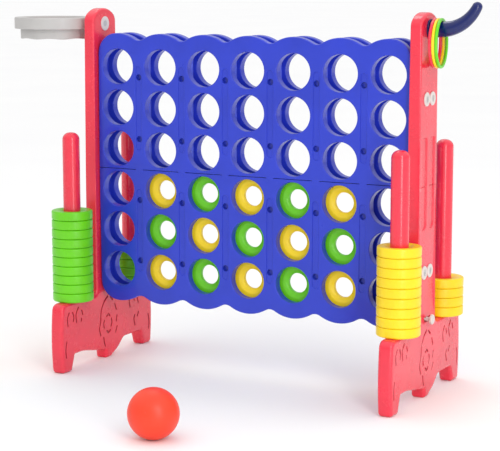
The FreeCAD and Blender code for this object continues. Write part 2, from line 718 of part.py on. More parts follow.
def make_disc(name):
    """A flat ring with a rounded rim, dished faces and a rounded hole, lying on z = 0."""
    body = doc.addObject("PartDesign::Body", name)
    profile = new_sketch(body, f"{name}_profile", "XZ_Plane")
    radius, bore = size("disc_radius"), size("disc_bore")
    thick, round_rim = size("disc_thickness"), size("disc_round")
    bow = round_rim * (1 - math.sqrt(0.5))
    land, slope_foot, dish, lip = radius - 15, bore + 6, 3.5, 2.5
    low_bow = lip * (1 - math.sqrt(0.5))
    draw_path(profile, [
        (bore, dish + lip),
        (bore + lip, dish, bore + low_bow, dish + low_bow),
        (slope_foot, dish),
        (land, 0, (slope_foot + land) / 2 + 0.8, dish / 2 - 0.6),
        (radius - round_rim, 0),
        (radius, round_rim, radius - bow, bow),
        (radius, thick - round_rim),
        (radius - round_rim, thick, radius - bow, thick - bow),
        (land, thick),
        (slope_foot, thick - dish, (slope_foot + land) / 2 + 0.8, thick - dish / 2 + 0.6),
        (bore + lip, thick - dish),
        (bore, thick - dish - lip, bore + low_bow, thick - dish - low_bow),
    ])
    revolved(body, profile)
    return body


def make_board_disc(column, row):
    """A disc standing in the board, its axis front to back."""
    disc = make_disc(f"board_disc_{column + 4}_{row}")
    disc.Placement = Placement(Vector(), Rotation(Vector(1, 0, 0), 90))
    bind(disc, Placement__Base__x=f"{column} * #column_pitch", Placement__Base__y="#disc_thickness / 2",
         Placement__Base__z=f"#top_row_height - {row - 1} * #row_pitch")
    return node(disc, f"disc_column{column + 4}_row{row}")


def make_stacks():
    """Discs on the pegs: the lower ones of each stack together, the top ones on their own."""
    for depth, side, together, single in STACKS:
        discs = []
        for level in range(together + single):
            disc = make_disc(f"{depth}_{side}_disc_{level + 1}")
            bind(disc, Placement__Base__x=f"{SIDES[side]} * (#foot_inner + #foot_thickness / 2)",
                 Placement__Base__y=f"{DEPTHS[depth]} * #peg_offset",
                 Placement__Base__z=f"#shoulder_height + 0.3 + {level} * #stack_pitch")
            discs.append(disc)
        node(compound(f"{depth}_{side}_stack", discs[:together]), f"{depth}_{side}_disc_stack")
        for level in range(together, together + single):
            node(discs[level], f"{depth}_{side}_disc_{level + 1}")


# --- Release slider ----------------------------------------------------------------

def make_slider():
    """A ladder: two rails in the panels' grooves, a rung under each column, a tail to pull."""
    low, high = "#slider_bottom", "#slider_bottom + #slider_height"
    pieces = []
    for sign in DEPTHS.values():
        rail = ("#rail_inset", "#slider_half_width") if sign > 0 else ("-#slider_half_width", "-#rail_inset")
        pieces.append(box("rail", ("-#slider_start", rail[0], low), ("#board_half_width - 2", rail[1], high)))
    for column in range(COLUMNS):
        x = (column - (COLUMNS - 1) / 2) * size("column_pitch")
        pieces.append(box("rung", (f"{x} - #rung_width / 2", "-#slider_half_width", low),
                          (f"{x} + #rung_width / 2", "#slider_half_width", high)))
    pieces.append(box("tail", ("#board_half_width - 2", "-#slider_half_width", low),
                      ("#post_inner + #post_thickness - 4", "#slider_half_width", high)))
    middle = "#slider_bottom + #slider_height / 2"
    socket = cylinder("stem_socket", "#stem_radius + 0.1", "20",
                      ("#post_inner + #post_thickness - 3", "0", middle), "-x")
    node(cut("slider_piece", fuse("slider_blank", pieces), [socket]), "release_slider")
    stem = cylinder("stem", "#stem_radius", "#slider_end - #post_inner - #post_thickness + 24",
                    ("#post_inner + #post_thickness - 22", "0", middle), "x")
    collar = cylinder("collar", "#collar_radius", "#slider_end - #post_inner - #post_thickness + 4",
                      ("#post_inner + #post_thickness - 3.9", "0", middle), "x")
    knob = cylinder("knob_disc", "#knob_radius", "#knob_thickness", ("#slider_end", "0", middle), "x")
    node(fuse("knob_piece", [stem, collar, knob]), "slider_knob")


# --- Accessories -------------------------------------------------------------------

def make_accessory_bolt(side, label):
    """Bolt through the upper post that holds an accessory, with a cap on the inner face."""
    sign = SIDES[side]
    outward = "x" if sign > 0 else "-x"
    inward = "-x" if sign > 0 else "x"
    seat = (f"{sign} * (#post_inner + #bolt_inset)", "0", "#accessory_height")
    shank = cylinder(f"{label}_shank", "#bolt_radius", "#post_thickness + 2", seat, outward)
    head = cylinder(f"{label}_head", "#bolt_head", "#bolt_head_height", seat, inward)
    node(fuse(f"{label}_bolt_piece", [shank, head]), f"{label}_bolt")
    cap = cylinder(f"{label}_cap_blank", "#bolt_cap", "#bolt_cap_height",
                   (f"{sign} * #post_inner", "0", "#accessory_height"), inward)
    node(cap, f"{label}_bolt_cap")


def make_hoop():
    """Hoop: a channel-shaped rim open below, and a narrower skirt hanging from it."""
    body = doc.addObject("PartDesign::Body", "hoop_body")
    profile = new_sketch(body, "hoop_profile", "XZ_Plane")
    outer, skirt, wall = size("hoop_radius"), size("skirt_radius"), size("hoop_wall")
    top, rim, drop = size("hoop_top"), size("hoop_rim_height"), size("hoop_skirt_height")
    inner, soft = skirt - wall, 3.0
    bow = soft * (1 - math.sqrt(0.5))
    draw_path(profile, [
        (inner, top - rim - drop),
        (skirt, top - rim - drop),
        (skirt, top - wall),
        (outer - wall, top - wall),
        (outer - wall, top - rim),
        (outer, top - rim),
        (outer, top - soft),
        (outer - soft, top, outer - bow, top - bow),
        (inner + soft, top),
        (inner, top - soft, inner + bow, top - bow),
    ])
    revolved(body, profile)
    centre = "-(#post_inner + #post_thickness + #hoop_standoff + #hoop_radius)"
    bind(body, Placement__Base__x=centre)
    node(body, "hoop")
    face = "-(#post_inner + #post_thickness)"
    plate = box("hoop_plate", (f"{face} - #plate_thickness", "-#plate_half", "#hoop_top - 58"),
                (face, "#plate_half", "#hoop_top + 4"))
    arm = box("hoop_arm", (f"{face} - #hoop_standoff - 12", "-#arm_half", "#hoop_top - #hoop_rim_height"),
              (f"{face} - #plate_thickness + 1", "#arm_half", "#hoop_top - #hoop_wall"))
    rim_room = cylinder("rim_room", "#hoop_radius", "#hoop_top", (centre, "0", "0"))
    bore = cylinder("hoop_bracket_bore", "#bolt_bore", "#plate_thickness + 8",
                    (f"{face} - #plate_thickness - 2", "0", "#accessory_height"), "x")
    blank = fuse("hoop_bracket_blank", [plate, arm])
    node(cut("hoop_bracket_piece", blank, [rim_room, bore]), "hoop_bracket")
    make_accessory_bolt("left", "hoop")


def make_hook():
    """Ring hook: a flange, a level root and a tapering curve that ends in a round tip."""
    face = size("post_inner") + size("post_thickness")
    height, radius, tip = size("accessory_height"), size("hook_radius"), size("hook_tip_radius")
    bend, sweep = size("hook_bend"), math.radians(size("hook_sweep"))
    level = face + size("hook_straight")
    stations = 8
    rings = [Part.Wire(Part.makeCircle(radius, Vector(face, 0, height), Vector(1, 0, 0)))]
    for step in range(stations + 1):
        part = step / stations
        angle = part * sweep
        place = Vector(level + bend * math.sin(angle), 0, height + bend * (1 - math.cos(angle)))
        along = Vector(math.cos(angle), 0, math.sin(angle))
        rings.append(Part.Wire(Part.makeCircle(radius + (tip - radius) * part, place, along)))
    root = Part.makeCylinder(radius, level - face, Vector(face, 0, height), Vector(1, 0, 0))
    horn = Part.makeLoft(rings[1:], True, False)
    flange = Part.makeCylinder(radius + size("flange_lip"), size("flange_thickness"),
                               Vector(face, 0, height), Vector(1, 0, 0))
    ball = Part.makeSphere(tip, place)
    bore = Part.makeCylinder(size("bolt_bore"), size("hook_bore"),
                             Vector(face - 1, 0, height), Vector(1, 0, 0))
    hook = doc.addObject("Part::Feature", "hook_shape")
    hook.Shape = root.fuse([horn, flange, ball]).removeSplitter().cut(bore)
    node(hook, "ring_hook")
    make_accessory_bolt("right", "hook")


def make_toss_rings():
    """Three thin rings that hang side by side on the hook."""
    drop = "(#ring_radius - #ring_section - #hook_radius - #ring_gap)"
    for index, colour in enumerate(("red", "yellow", "green")):
        ring = doc.addObject("Part::Torus", f"{colour}_ring")
        turn = Rotation(Vector(0, 0, 1), size("ring_yaw")).multiply(Rotation(Vector(0, 1, 0), 90))
        ring.Placement = Placement(Vector(), turn)
        bind(ring, Radius1="#ring_radius", Radius2="#ring_section",
             Placement__Base__x=f"#post_inner + #post_thickness + #ring_offset + {index} * #ring_step",
             Placement__Base__z=f"#accessory_height - {drop}")
        node(ring, f"{colour}_toss_ring")


def make_ball():
    ball = doc.addObject("Part::Sphere", "ball_shape")
    bind(ball, Radius="#ball_radius", Placement__Base__x="#ball_side", Placement__Base__y="-#ball_front",
         Placement__Base__z="#ball_radius")
    node(ball, "play_ball")


def build():
    for depth in DEPTHS:
        for upper in (True, False):
            make_panel(depth, upper)
    make_dividers()
    make_panel_screws()
    for side in SIDES:
        make_leg(side)
        make_upper_post(side)
        make_post_fasteners(side)
        for depth in DEPTHS:
            make_peg(side, depth)
    for column in FILLED_COLUMNS:
        for row in FILLED_ROWS:
            make_board_disc(column, row)
    make_stacks()
    make_slider()
    make_hoop()
    make_hook()
    make_toss_rings()
    make_ball()
    doc.recompute()


def check():
    """Stops on a failed feature or a bad shape."""
    for item in doc.Objects:
        if "Invalid" in item.State or "Error" in item.State:
            raise RuntimeError(f"{item.Name} failed: {item.State}")
    for item in nodes:
        if item.Shape.isNull() or not item.Shape.isValid():
            raise RuntimeError(f"{item.Label} has a bad shape")


def export():
    os.makedirs("parts", exist_ok=True)
    for item in nodes:
        item.Shape.exportStep(f"parts/{item.Label}.step")
        solids = len(item.Shape.Solids)
        print(f"{item.Label}: {solids} solid(s), {item.Shape.Volume / 1000:.1f} cm3")
    print(f"{len(nodes)} nodes")


build()
check()
export()
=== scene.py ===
import math

import bmesh
import bpy
import numpy as np
from mathutils import Matrix, Vector
from mathutils.geometry import delaunay_2d_cdt


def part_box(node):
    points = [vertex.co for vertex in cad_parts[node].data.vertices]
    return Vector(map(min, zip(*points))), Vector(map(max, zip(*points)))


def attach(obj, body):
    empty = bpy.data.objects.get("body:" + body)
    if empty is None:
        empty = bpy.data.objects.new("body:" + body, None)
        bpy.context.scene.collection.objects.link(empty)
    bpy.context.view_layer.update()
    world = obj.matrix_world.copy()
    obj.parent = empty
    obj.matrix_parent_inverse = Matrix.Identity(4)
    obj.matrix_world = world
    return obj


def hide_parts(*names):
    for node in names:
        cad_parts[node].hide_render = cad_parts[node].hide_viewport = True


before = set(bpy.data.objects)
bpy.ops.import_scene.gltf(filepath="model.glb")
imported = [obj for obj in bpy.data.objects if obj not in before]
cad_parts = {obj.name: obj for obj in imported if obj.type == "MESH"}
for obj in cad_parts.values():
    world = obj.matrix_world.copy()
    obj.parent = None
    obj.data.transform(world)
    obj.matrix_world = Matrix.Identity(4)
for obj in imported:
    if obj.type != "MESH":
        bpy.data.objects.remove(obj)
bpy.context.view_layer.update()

# Giant four in a row, dressed on its CAD frame. Metres, +X along the board, +Z up.
MM = 0.001
SIDES = {"left": -1, "right": 1}
DEPTHS = {"front": -1, "back": 1}


def middle(node):
    low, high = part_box(node)
    return (low + high) / 2


PITCH = middle("disc_column3_row5").x - middle("disc_column2_row5").x
ROW = middle("disc_column2_row5").z - middle("disc_column2_row6").z
COLUMNS = [step * PITCH for step in range(-3, 4)]
DIVIDERS = [(step + 0.5) * PITCH for step in range(-3, 3)]
LOW_ROW = middle("disc_column2_row5").z
HIGH_ROW = LOW_ROW + 3 * ROW
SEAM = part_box("left_upper_post")[0].z


# --- Materials --------------------------------------------------------

def srgb(red, green, blue):
    """A colour given as 0 to 255 display values, in linear light."""
    values = []
    for value in (red, green, blue):
        share = value / 255
        values.append(share / 12.92 if share <= 0.04045 else ((share + 0.055) / 1.055) ** 2.4)
    return (*values, 1.0)


class Nodes:
    """A material's node tree, with short calls to add and link nodes."""

    def __init__(self, name):
        self.material = bpy.data.materials.new(name)
        self.material.use_nodes = True
        self.tree = self.material.node_tree
        self.shader = self.tree.nodes["Principled BSDF"]
        self.place = self.add("ShaderNodeTexCoord").outputs["Object"]

    def add(self, kind, **settings):
        node = self.tree.nodes.new(kind)
        for key, value in settings.items():
            if key in node.inputs:
                node.inputs[key].default_value = value
            else:
                setattr(node, key, value)
        return node

    def link(self, source, target):
        self.tree.links.new(source, target)

    def noise(self, scale, detail=3.0, roughness=0.55):
        node = self.add("ShaderNodeTexNoise")
        node.inputs["Scale"].default_value = scale
        node.inputs["Detail"].default_value = detail
        node.inputs["Roughness"].default_value = roughness
        self.link(self.place, node.inputs["Vector"])
        return node.outputs["Fac"]

    def ramp(self, value, low, high, start, end):
        """Maps a value between low and high to start and end."""
        node = self.add("ShaderNodeMapRange")
        for key, number in (("From Min", low), ("From Max", high), ("To Min", start), ("To Max", end)):
            node.inputs[key].default_value = number
        self.link(value, node.inputs["Value"])
        return node.outputs["Result"]

    def math(self, operation, first, second):
        node = self.add("ShaderNodeMath", operation=operation)
        for index, value in enumerate((first, second)):
            if isinstance(value, (int, float)):
                node.inputs[index].default_value = value
            else:
                self.link(value, node.inputs[index])
        return node.outputs[0]

    def mix(self, share, first, second):
        node = self.add("ShaderNodeMix", data_type="RGBA")
        self.link(share, node.inputs["Factor"])
        for key, value in (("A", first), ("B", second)):
            socket = next(s for s in node.inputs if s.name == key and s.type == "RGBA")
            if isinstance(value, tuple):
                socket.default_value = value
            else:
                self.link(value, socket)
        return next(s for s in node.outputs if s.type == "RGBA")

    def attribute(self, name):
        return self.add("ShaderNodeAttribute", attribute_name=name).outputs["Fac"]


def shade(colour, factor, lift=0.0):
    """A lighter or darker version of a colour."""
    return (*[min(1.0, value * factor + lift) for value in colour[:3]], 1.0)


def moulded(name, colour, roughness, grain, ripple, coat=0.0, painted_shade_strength=0.35, shine=0.5):
    """Moulded plastic: cloudy colour, rubbed edges, painted shade in dips, fine grain and soft ripples."""
    nodes = Nodes(name)
    shader = nodes.shader
    clouds = nodes.noise(9.0, 4.0)
    base = nodes.mix(nodes.ramp(clouds, 0.35, 0.65, 0.0, 1.0), shade(colour, 0.93), shade(colour, 1.05))
    scuffs = nodes.ramp(nodes.noise(140.0, 5.0, 0.7), 0.45, 0.7, 0.15, 1.0)
    rubbed = nodes.math("MULTIPLY", nodes.attribute("edge"), nodes.math("MULTIPLY", scuffs, 0.35))
    base = nodes.mix(rubbed, base, shade(colour, 1.15, 0.06))
    # Painted shade: sunk areas turn a darker red, blue or other base colour by their recess shade value,
    # standing in for the shade that falls in grooves and recesses.
    painted_shade_mix = nodes.math("MULTIPLY", nodes.attribute("recess_shade"), painted_shade_strength)
    base = nodes.mix(painted_shade_mix, base, shade(colour, 0.35))
    nodes.link(base, shader.inputs["Base Color"])
    smears = nodes.ramp(nodes.noise(23.0, 5.0, 0.65), 0.3, 0.7, roughness - 0.05, roughness + 0.07)
    nodes.link(nodes.math("ADD", smears, nodes.math("MULTIPLY", rubbed, 0.12)), shader.inputs["Roughness"])
    shader.inputs["Specular IOR Level"].default_value = shine
    shader.inputs["Coat Weight"].default_value = coat
    shader.inputs["Coat Roughness"].default_value = 0.12
    fine = nodes.add("ShaderNodeBump", Strength=0.12, Distance=grain)
    nodes.link(nodes.noise(1400.0, 2.0), fine.inputs["Height"])
    soft = nodes.add("ShaderNodeBump", Strength=0.5, Distance=ripple)
    nodes.link(nodes.noise(16.0, 1.0), soft.inputs["Height"])
    nodes.link(fine.outputs["Normal"], soft.inputs["Normal"])
    nodes.link(soft.outputs["Normal"], shader.inputs["Normal"])
    return nodes.material


def steel(name):
    """Zinc-plated screw steel with brushed grain."""
    nodes = Nodes(name)
    shader = nodes.shader
    shader.inputs["Metallic"].default_value = 1.0
    tint = nodes.ramp(nodes.noise(60.0, 4.0), 0.3, 0.7, 0.0, 1.0)
    nodes.link(nodes.mix(tint, srgb(150, 152, 156), srgb(196, 198, 200)), shader.inputs["Base Color"])
    nodes.link(nodes.ramp(nodes.noise(240.0, 3.0), 0.3, 0.7, 0.28, 0.46), shader.inputs["Roughness"])
    bump = nodes.add("ShaderNodeBump", Strength=0.2, Distance=0.0002)
    nodes.link(nodes.noise(900.0, 2.0), bump.inputs["Height"])
    nodes.link(bump.outputs["Normal"], shader.inputs["Normal"])
    return nodes.material


# Colour, roughness, grain depth and ripple depth in metres, then coat, strength of the painted shade in
# recesses and shine.
MATERIALS = {
    "red_plastic": moulded("red_moulded_plastic", srgb(236, 44, 68), 0.24, 0.0003, 0.0008, 0.35, 0.8),
    "blue_plastic": moulded("blue_moulded_plastic", srgb(40, 60, 194), 0.32, 0.0003, 0.0006, 0.3, shine=0.3),
    # A lighter copy of the board blue for the divider bars: a painted highlight for their bright edges seen
    # through the windows.
    "painted_highlight_blue": moulded("blue_plastic_painted_highlight", srgb(110, 125, 235), 0.38, 0.0003, 0.0006),
    "yellow_plastic": moulded("yellow_moulded_plastic", srgb(252, 218, 16), 0.36, 0.0002, 0.0004, 0.1),
    "green_plastic": moulded("green_moulded_plastic", srgb(104, 208, 2), 0.34, 0.0002, 0.0004, 0.1),
    "white_plastic": moulded("white_moulded_plastic", srgb(220, 212, 208), 0.38, 0.0002, 0.0003),
    "grey_plastic": moulded("grey_moulded_plastic", srgb(190, 188, 186), 0.42, 0.0003, 0.0005),
    "navy_plastic": moulded("navy_moulded_plastic", srgb(4, 24, 94), 0.14, 0.0002, 0.0003, 0.5, shine=0.3),
    "ball_rubber": moulded("ball_rubber", srgb(248, 62, 30), 0.42, 0.0006, 0.0004),
    "screw_steel": steel("screw_steel"),
}


# --- Mesh helpers -----------------------------------------------------

def finish_mesh(name, vertices, faces, values=None, sharp=40.0):
    """A mesh object with outward normals, smooth shading, sharp creases and named point values."""
    mesh = bpy.data.meshes.new(name)
    mesh.from_pydata([tuple(v) for v in vertices], [], faces)
    for key, numbers in (values or {}).items():
        layer = mesh.attributes.new(key, "FLOAT", "POINT")
        layer.data.foreach_set("value", np.asarray(numbers, np.float32))
    work = bmesh.new()
    work.from_mesh(mesh)
    bmesh.ops.remove_doubles(work, verts=work.verts, dist=1e-6)
    bmesh.ops.recalc_face_normals(work, faces=work.faces)
    work.to_mesh(mesh)
    work.free()
    mesh.shade_smooth()
    mesh.set_sharp_from_angle(angle=math.radians(sharp))
    piece = bpy.data.objects.new(name, mesh)
    bpy.context.scene.collection.objects.link(piece)
    even = piece.modifiers.new("even_normals", "WEIGHTED_NORMAL")
    even.keep_sharp = True
    return piece


def dress(piece, body, slot, *nodes, material=None):
    """Gives a piece its material, picked by slot unless one is named, puts it on its body and hides the CAD
    nodes that it stands for.
    """
    piece.data.materials.append(MATERIALS[material or slot])
    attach(piece, body)
    if nodes:
        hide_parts(*nodes)
    return piece


def arc(x, y, radius, start, end, chord=4 * MM):
    """Points on an arc between two angles in degrees, both ends included."""
    count = max(3, int(abs(math.radians(end - start)) * radius / chord) + 2)
    angles = np.radians(np.linspace(start, end, count))
    return np.column_stack((x + radius * np.cos(angles), y + radius * np.sin(angles)))


def through(start, middle_point, end, chord=4 * MM):
    """Points on the arc from start to end that passes a middle point; start is left out."""
    (ax, ay), (bx, by), (cx, cy) = start, middle_point, end
    cross = 2 * (ax * (by - cy) + bx * (cy - ay) + cx * (ay - by))
    if abs(cross) < 1e-12:
        return np.array([end])
    a, b, c = ax * ax + ay * ay, bx * bx + by * by, cx * cx + cy * cy
    x = (a * (by - cy) + b * (cy - ay) + c * (ay - by)) / cross
    y = (a * (cx - bx) + b * (ax - cx) + c * (bx - ax)) / cross
    radius = math.hypot(ax - x, ay - y)
    first, passing, last = [math.atan2(q - y, p - x) for p, q in (start, middle_point, end)]
    sweep = (last - first) % math.tau
    if (passing - first) % math.tau > sweep:
        sweep -= math.tau
    return arc(x, y, radius, math.degrees(first), math.degrees(first + sweep), chord)[1:]


def path(points, chord=4 * MM):
    """A closed outline of lines and arcs; (x, y) is a line's end, (x, y, mid_x, mid_y) an arc's."""
    outline, last = [], points[-1][:2]
    for point in points:
        if len(point) == 4:
            outline.extend(through(last, point[2:], point[:2], chord))
        else:
            outline.append(point[:2])
        last = point[:2]
    return np.array(outline, float)


def spline(points, steps=6):
    """A smooth open line through points."""
    points = np.array(points, float)
    padded = np.vstack((2 * points[0] - points[1], points, 2 * points[-1] - points[-2]))
    line = []
    for index in range(1, len(padded) - 2):
        a, b, c, d = padded[index - 1:index + 3]
        for step in range(steps):
            t = step / steps
            line.append(0.5 * (2 * b + (c - a) * t + (2 * a - 5 * b + 4 * c - d) * t ** 2
                               + (3 * b - a - 3 * c + d) * t ** 3))
    line.append(points[-1])
    return np.array(line)


def capsule(line, half):
    """The closed outline round an open line at a distance, with round ends."""
    ahead = np.gradient(line, axis=0)
    ahead /= np.linalg.norm(ahead, axis=1)[:, None]
    left = np.column_stack((-ahead[:, 1], ahead[:, 0])) * half
    outline = list(line - left)
    turns = math.radians(180) / 6
    for tip, start, run in ((line[-1], -left[-1], 1), (line[0], left[0], 0)):
        for step in range(1, 6):
            angle = step * turns
            c, s = math.cos(angle), math.sin(angle)
            outline.append(tip + (start[0] * c - start[1] * s, start[0] * s + start[1] * c))
        if run:
            outline.extend((line + left)[::-1])
    return np.array(outline)


def circle(x, y, radius, count=56):
    angles = np.linspace(0, math.tau, count, endpoint=False)
    return np.column_stack((x + radius * np.cos(angles), y + radius * np.sin(angles)))


def inside(points, polygon):
    """Which points lie in a polygon."""
    x, y = points[:, 0], points[:, 1]
    found = np.zeros(len(points), bool)
    last = polygon[-1]
    for corner in polygon:
        crosses = (corner[1] > y) != (last[1] > y)
        if crosses.any():
            rise = last[1] - corner[1]
            edge = (last[0] - corner[0]) * (y - corner[1]) / (rise if rise else 1e-12) + corner[0]
            found ^= crosses & (x < edge)
        last = corner
    return found


def inset(points, distance):
    """Points of a closed outline moved to its left by a distance each."""
    ahead = np.roll(points, -1, axis=0) - points
    ahead /= np.maximum(np.linalg.norm(ahead, axis=1), 1e-12)[:, None]
    left = np.column_stack((-ahead[:, 1], ahead[:, 0]))
    mean = left + np.roll(left, 1, axis=0)
    mean /= np.maximum(np.linalg.norm(mean, axis=1), 1e-12)[:, None]
    stretch = 1 / np.maximum((mean * left).sum(axis=1), 0.5)
    return points + mean * (stretch * distance)[:, None]


def signed_area(points):
    x, y = points[:, 0], points[:, 1]
    return 0.5 * float(np.sum(x * np.roll(y, -1) - y * np.roll(x, -1)))


def turned(points, left):
    """The outline running left (anticlockwise) or right."""
    return points if (signed_area(points) > 0) == left else points[::-1]


ROUND_STEPS = 4
GRID_SHIFT = 0.37
GRID_GAP = 0.3


def plate(name, axis, faces_at, outline, radius, holes=(), marks=((), ()), flow=None, spacing=30 * MM):
    """A moulded plate between two faces square to an axis.

    outline is (u, v) points and radius its edge rounding, one number or a function of the points.
    holes are (points, radius on face 0, radius on face 1). marks, for each face, are
    (points, depth, darkness) outlines of sunk areas, outer ones first. flow(u, v, face)
    sinks a face further. The faces between have points every spacing.
    """
    loops = [(turned(outline, True), radius, radius)]
    loops += [(turned(points, False), first, second) for points, first, second in holes]
    inward = (1, -1) if faces_at[1] > faces_at[0] else (-1, 1)
    # recess_shade holds each point's painted shade, darkest at the floors of sunk marks.
    vertices, faces, edge, recess_shade = [], [], [], []

    def put(points, depth, face, edge_value, recess_shade_value):
        start = len(vertices)
        sunk = depth + (flow(points[:, 0], points[:, 1], face) if flow else 0.0)
        across = faces_at[face] + inward[face] * (sunk + np.zeros(len(points)))
        for (u, v), w in zip(points, across):
            vertices.append((w, u, v) if axis == "x" else (u, w, v))
        edge.extend(np.zeros(len(points)) + edge_value)
        recess_shade.extend(np.zeros(len(points)) + recess_shade_value)
        return list(range(start, len(vertices)))

    walls = [[None, None] for _ in loops]
    for face in (0, 1):
        rims, flat, joined = [], [], []
        for number, (points, *radii) in enumerate(loops):
            size = radii[face](points) if callable(radii[face]) else np.full(len(points), radii[face])
            rings = []
            for step in range(ROUND_STEPS + 1):
                angle = math.radians(90) * step / ROUND_STEPS
                ring = inset(points, size * (1 - math.sin(angle)))
                lit = math.sin(2 * angle)
                if step == 0:
                    flat.append(ring)
                    rings.append(None)
                else:
                    rings.append((ring, put(ring, size * (1 - math.cos(angle)), face, lit, 0.0)))
            rims.append(rings)
            walls[number][face] = rings[-1][1]
        border = [len(points) for points in flat]
        area = flat + [points for points, _, _ in marks[face]]
        low, high = flat[0].min(axis=0), flat[0].max(axis=0)
        across, up = np.arange(low[0], high[0], spacing), np.arange(low[1], high[1], spacing)
        grid = np.stack(np.meshgrid(across, up), -1).reshape(-1, 2) + GRID_SHIFT * spacing
        keep = inside(grid, flat[0])
        for points in flat[1:]:
            keep &= ~inside(grid, points)
        near = np.vstack(area)
        grid = grid[keep]
        if len(grid):
            gaps = np.array([np.min(np.abs(near - spot).max(axis=1)) for spot in grid])
            grid = grid[gaps > GRID_GAP * spacing]
        level = np.zeros((len(grid), 2))
        for points, *sunk in marks[face]:
            level[inside(grid, points)] = sunk
        corners = np.vstack(area + [grid])
        levels = np.vstack([np.zeros((sum(border), 2))]
                           + [np.tile(sunk, (len(points), 1)) for points, *sunk in marks[face]] + [level])
        fences, start = [], 0
        for points in area:
            count = len(points)
            fences += [(start + i, start + (i + 1) % count) for i in range(count)]
            start += count
        made, _, triangles, origin, _, _ = delaunay_2d_cdt(
            [Vector(c) for c in corners], fences, [], 0, 1e-7)
        spots = np.array([tuple(v) for v in made])
        sunk = np.array([levels[source[0]] if source else (0.0, 0.0) for source in origin])
        triangles = np.array(triangles)
        centres = spots[triangles].mean(axis=1)
        keep = inside(centres, flat[0])
        for points in flat[1:]:
            keep &= ~inside(centres, points)
        numbers = put(spots, sunk[:, 0], face, 0.0, sunk[:, 1])
        faces.extend(tuple(numbers[i] for i in triangle) for triangle in triangles[keep])
        joined = {}
        for made_at, sources in enumerate(origin):
            for source in sources:
                joined[source] = numbers[made_at]
        start = 0
        for rings, count in zip(rims, border):
            before = [joined[start + i] for i in range(count)]
            for step in range(1, ROUND_STEPS + 1):
                after = rings[step][1]
                for i in range(count):
                    j = (i + 1) % count
                    faces.append((before[i], before[j], after[j], after[i]))
                before = after
            start += count
    for first, second in walls:
        count = len(first)
        for i in range(count):
            j = (i + 1) % count
            faces.append((first[i], first[j], second[j], second[i]))
    return finish_mesh(name, vertices, faces, {"edge": edge, "recess_shade": recess_shade})


def lathe(profile, count=72, wobble=None):
    """Vertices and faces of a profile of (radius, height) points turned about Z.

    A radius of 0 at either end closes there; wobble(angle, radius, height) may change each point.
    """
    vertices, rows, faces = [], [], []
    for radius, height in profile:
        row = []
        turns = 1 if radius < 1e-9 else count
        for step in range(turns):
            angle = math.tau * step / count
            r, z = wobble(angle, radius, height) if wobble else (radius, height)
            row.append(len(vertices))
            vertices.append((r * math.cos(angle), r * math.sin(angle), z))
        rows.append(row)
    pairs = list(zip(rows, rows[1:]))
    if len(rows[0]) > 1 and len(rows[-1]) > 1:
        pairs.append((rows[-1], rows[0]))
    for first, second in pairs:
        for step in range(count):
            after = (step + 1) % count
            if len(first) == 1:
                faces.append((first[0], second[step], second[after]))
            elif len(second) == 1:
                faces.append((first[step], first[after], second[0]))
            else:
                faces.append((first[step], first[after], second[after], second[step]))
    return vertices, faces


def gather(parts):
    """Joins (vertices, faces, matrix) sets into one list of vertices and one of faces."""
    vertices, faces = [], []
    for points, polygons, matrix in parts:
        start = len(vertices)
        vertices.extend(matrix @ Vector(p) for p in points)
        faces.extend(tuple(start + i for i in polygon) for polygon in polygons)
    return vertices, faces


def corner(x, y, radius, start, end, steps=5):
    """Profile points of a rounded corner."""
    return [(x + radius * math.cos(math.radians(start + (end - start) * i / steps)),
             y + radius * math.sin(math.radians(start + (end - start) * i / steps)))
            for i in range(steps + 1)]


def smooth(value, low, high):
    """0 below low, 1 above high, and an even turn between them."""
    share = np.clip((value - low) / (high - low), 0, 1)
    return share * share * (3 - 2 * share)


# --- Board ------------------------------------------------------------

WINDOW = 52 * MM
WINDOW_FRONT_ROUND = 3.0 * MM
WINDOW_BACK_ROUND = 1.5 * MM
BOARD_ROUND = 4 * MM
CREST_RADIUS = 110 * MM
HOLLOW_RADIUS = 30 * MM
BOARD_CORNER = 60 * MM
TAB_HALF = 11 * MM
TAB_REACH = 10 * MM
SEAM_GAP = 0.8 * MM
TAB_SLIP = 0.05 * MM
FLUTE_HALF = 113.16 * MM
RECESS_OFFSET = 90 * MM
# Nested outlines of a sunk detail: half width or radius and depth in millimetres, and the darkness of its
# painted shade.
FLUTE_STEPS = ((10.3, 0.0, 0.0), (9.5, 0.9, 0.1), (9.3, 1.8, 0.15))
RECESS_STEPS = ((9.1, 1.8, 0.2), (8.9, 2.6, 0.6), (8.7, 11.0, 1.0))
GROOVE_STEPS = ((3.3, 0.0, 0.0), (2.8, 0.8, 0.5), (2.1, 3.0, 1.0), (1.1, 3.6, 1.0))


def wave(crest, end):
    """The wavy long edge above a row centre at height 0, from the right end to the left one."""
    centre = crest - CREST_RADIUS
    lean = math.degrees(math.acos(PITCH / 2 / (CREST_RADIUS + HOLLOW_RADIUS)))
    hollow = centre + math.sin(math.radians(lean)) * (CREST_RADIUS + HOLLOW_RADIUS)
    corner_x = end - BOARD_CORNER
    gap = CREST_RADIUS - BOARD_CORNER
    rise = math.sqrt(gap ** 2 - (corner_x - COLUMNS[-1]) ** 2)
    turn = math.degrees(math.atan2(rise, corner_x - COLUMNS[-1]))
    edge = [arc(corner_x, centre + rise, BOARD_CORNER, 0, turn)[:-1]]
    for x in reversed(COLUMNS):
        start = turn if x == COLUMNS[-1] else lean
        stop = 180 - turn if x == COLUMNS[0] else 180 - lean
        edge.append(arc(x, centre, CREST_RADIUS, start, stop)[:-1])
        if x != COLUMNS[0]:
            edge.append(arc(x - PITCH / 2, hollow, HOLLOW_RADIUS, -lean, lean - 180)[:-1])
    edge.append(arc(-corner_x, centre + rise, BOARD_CORNER, 180 - turn, 180))
    return np.vstack(edge)


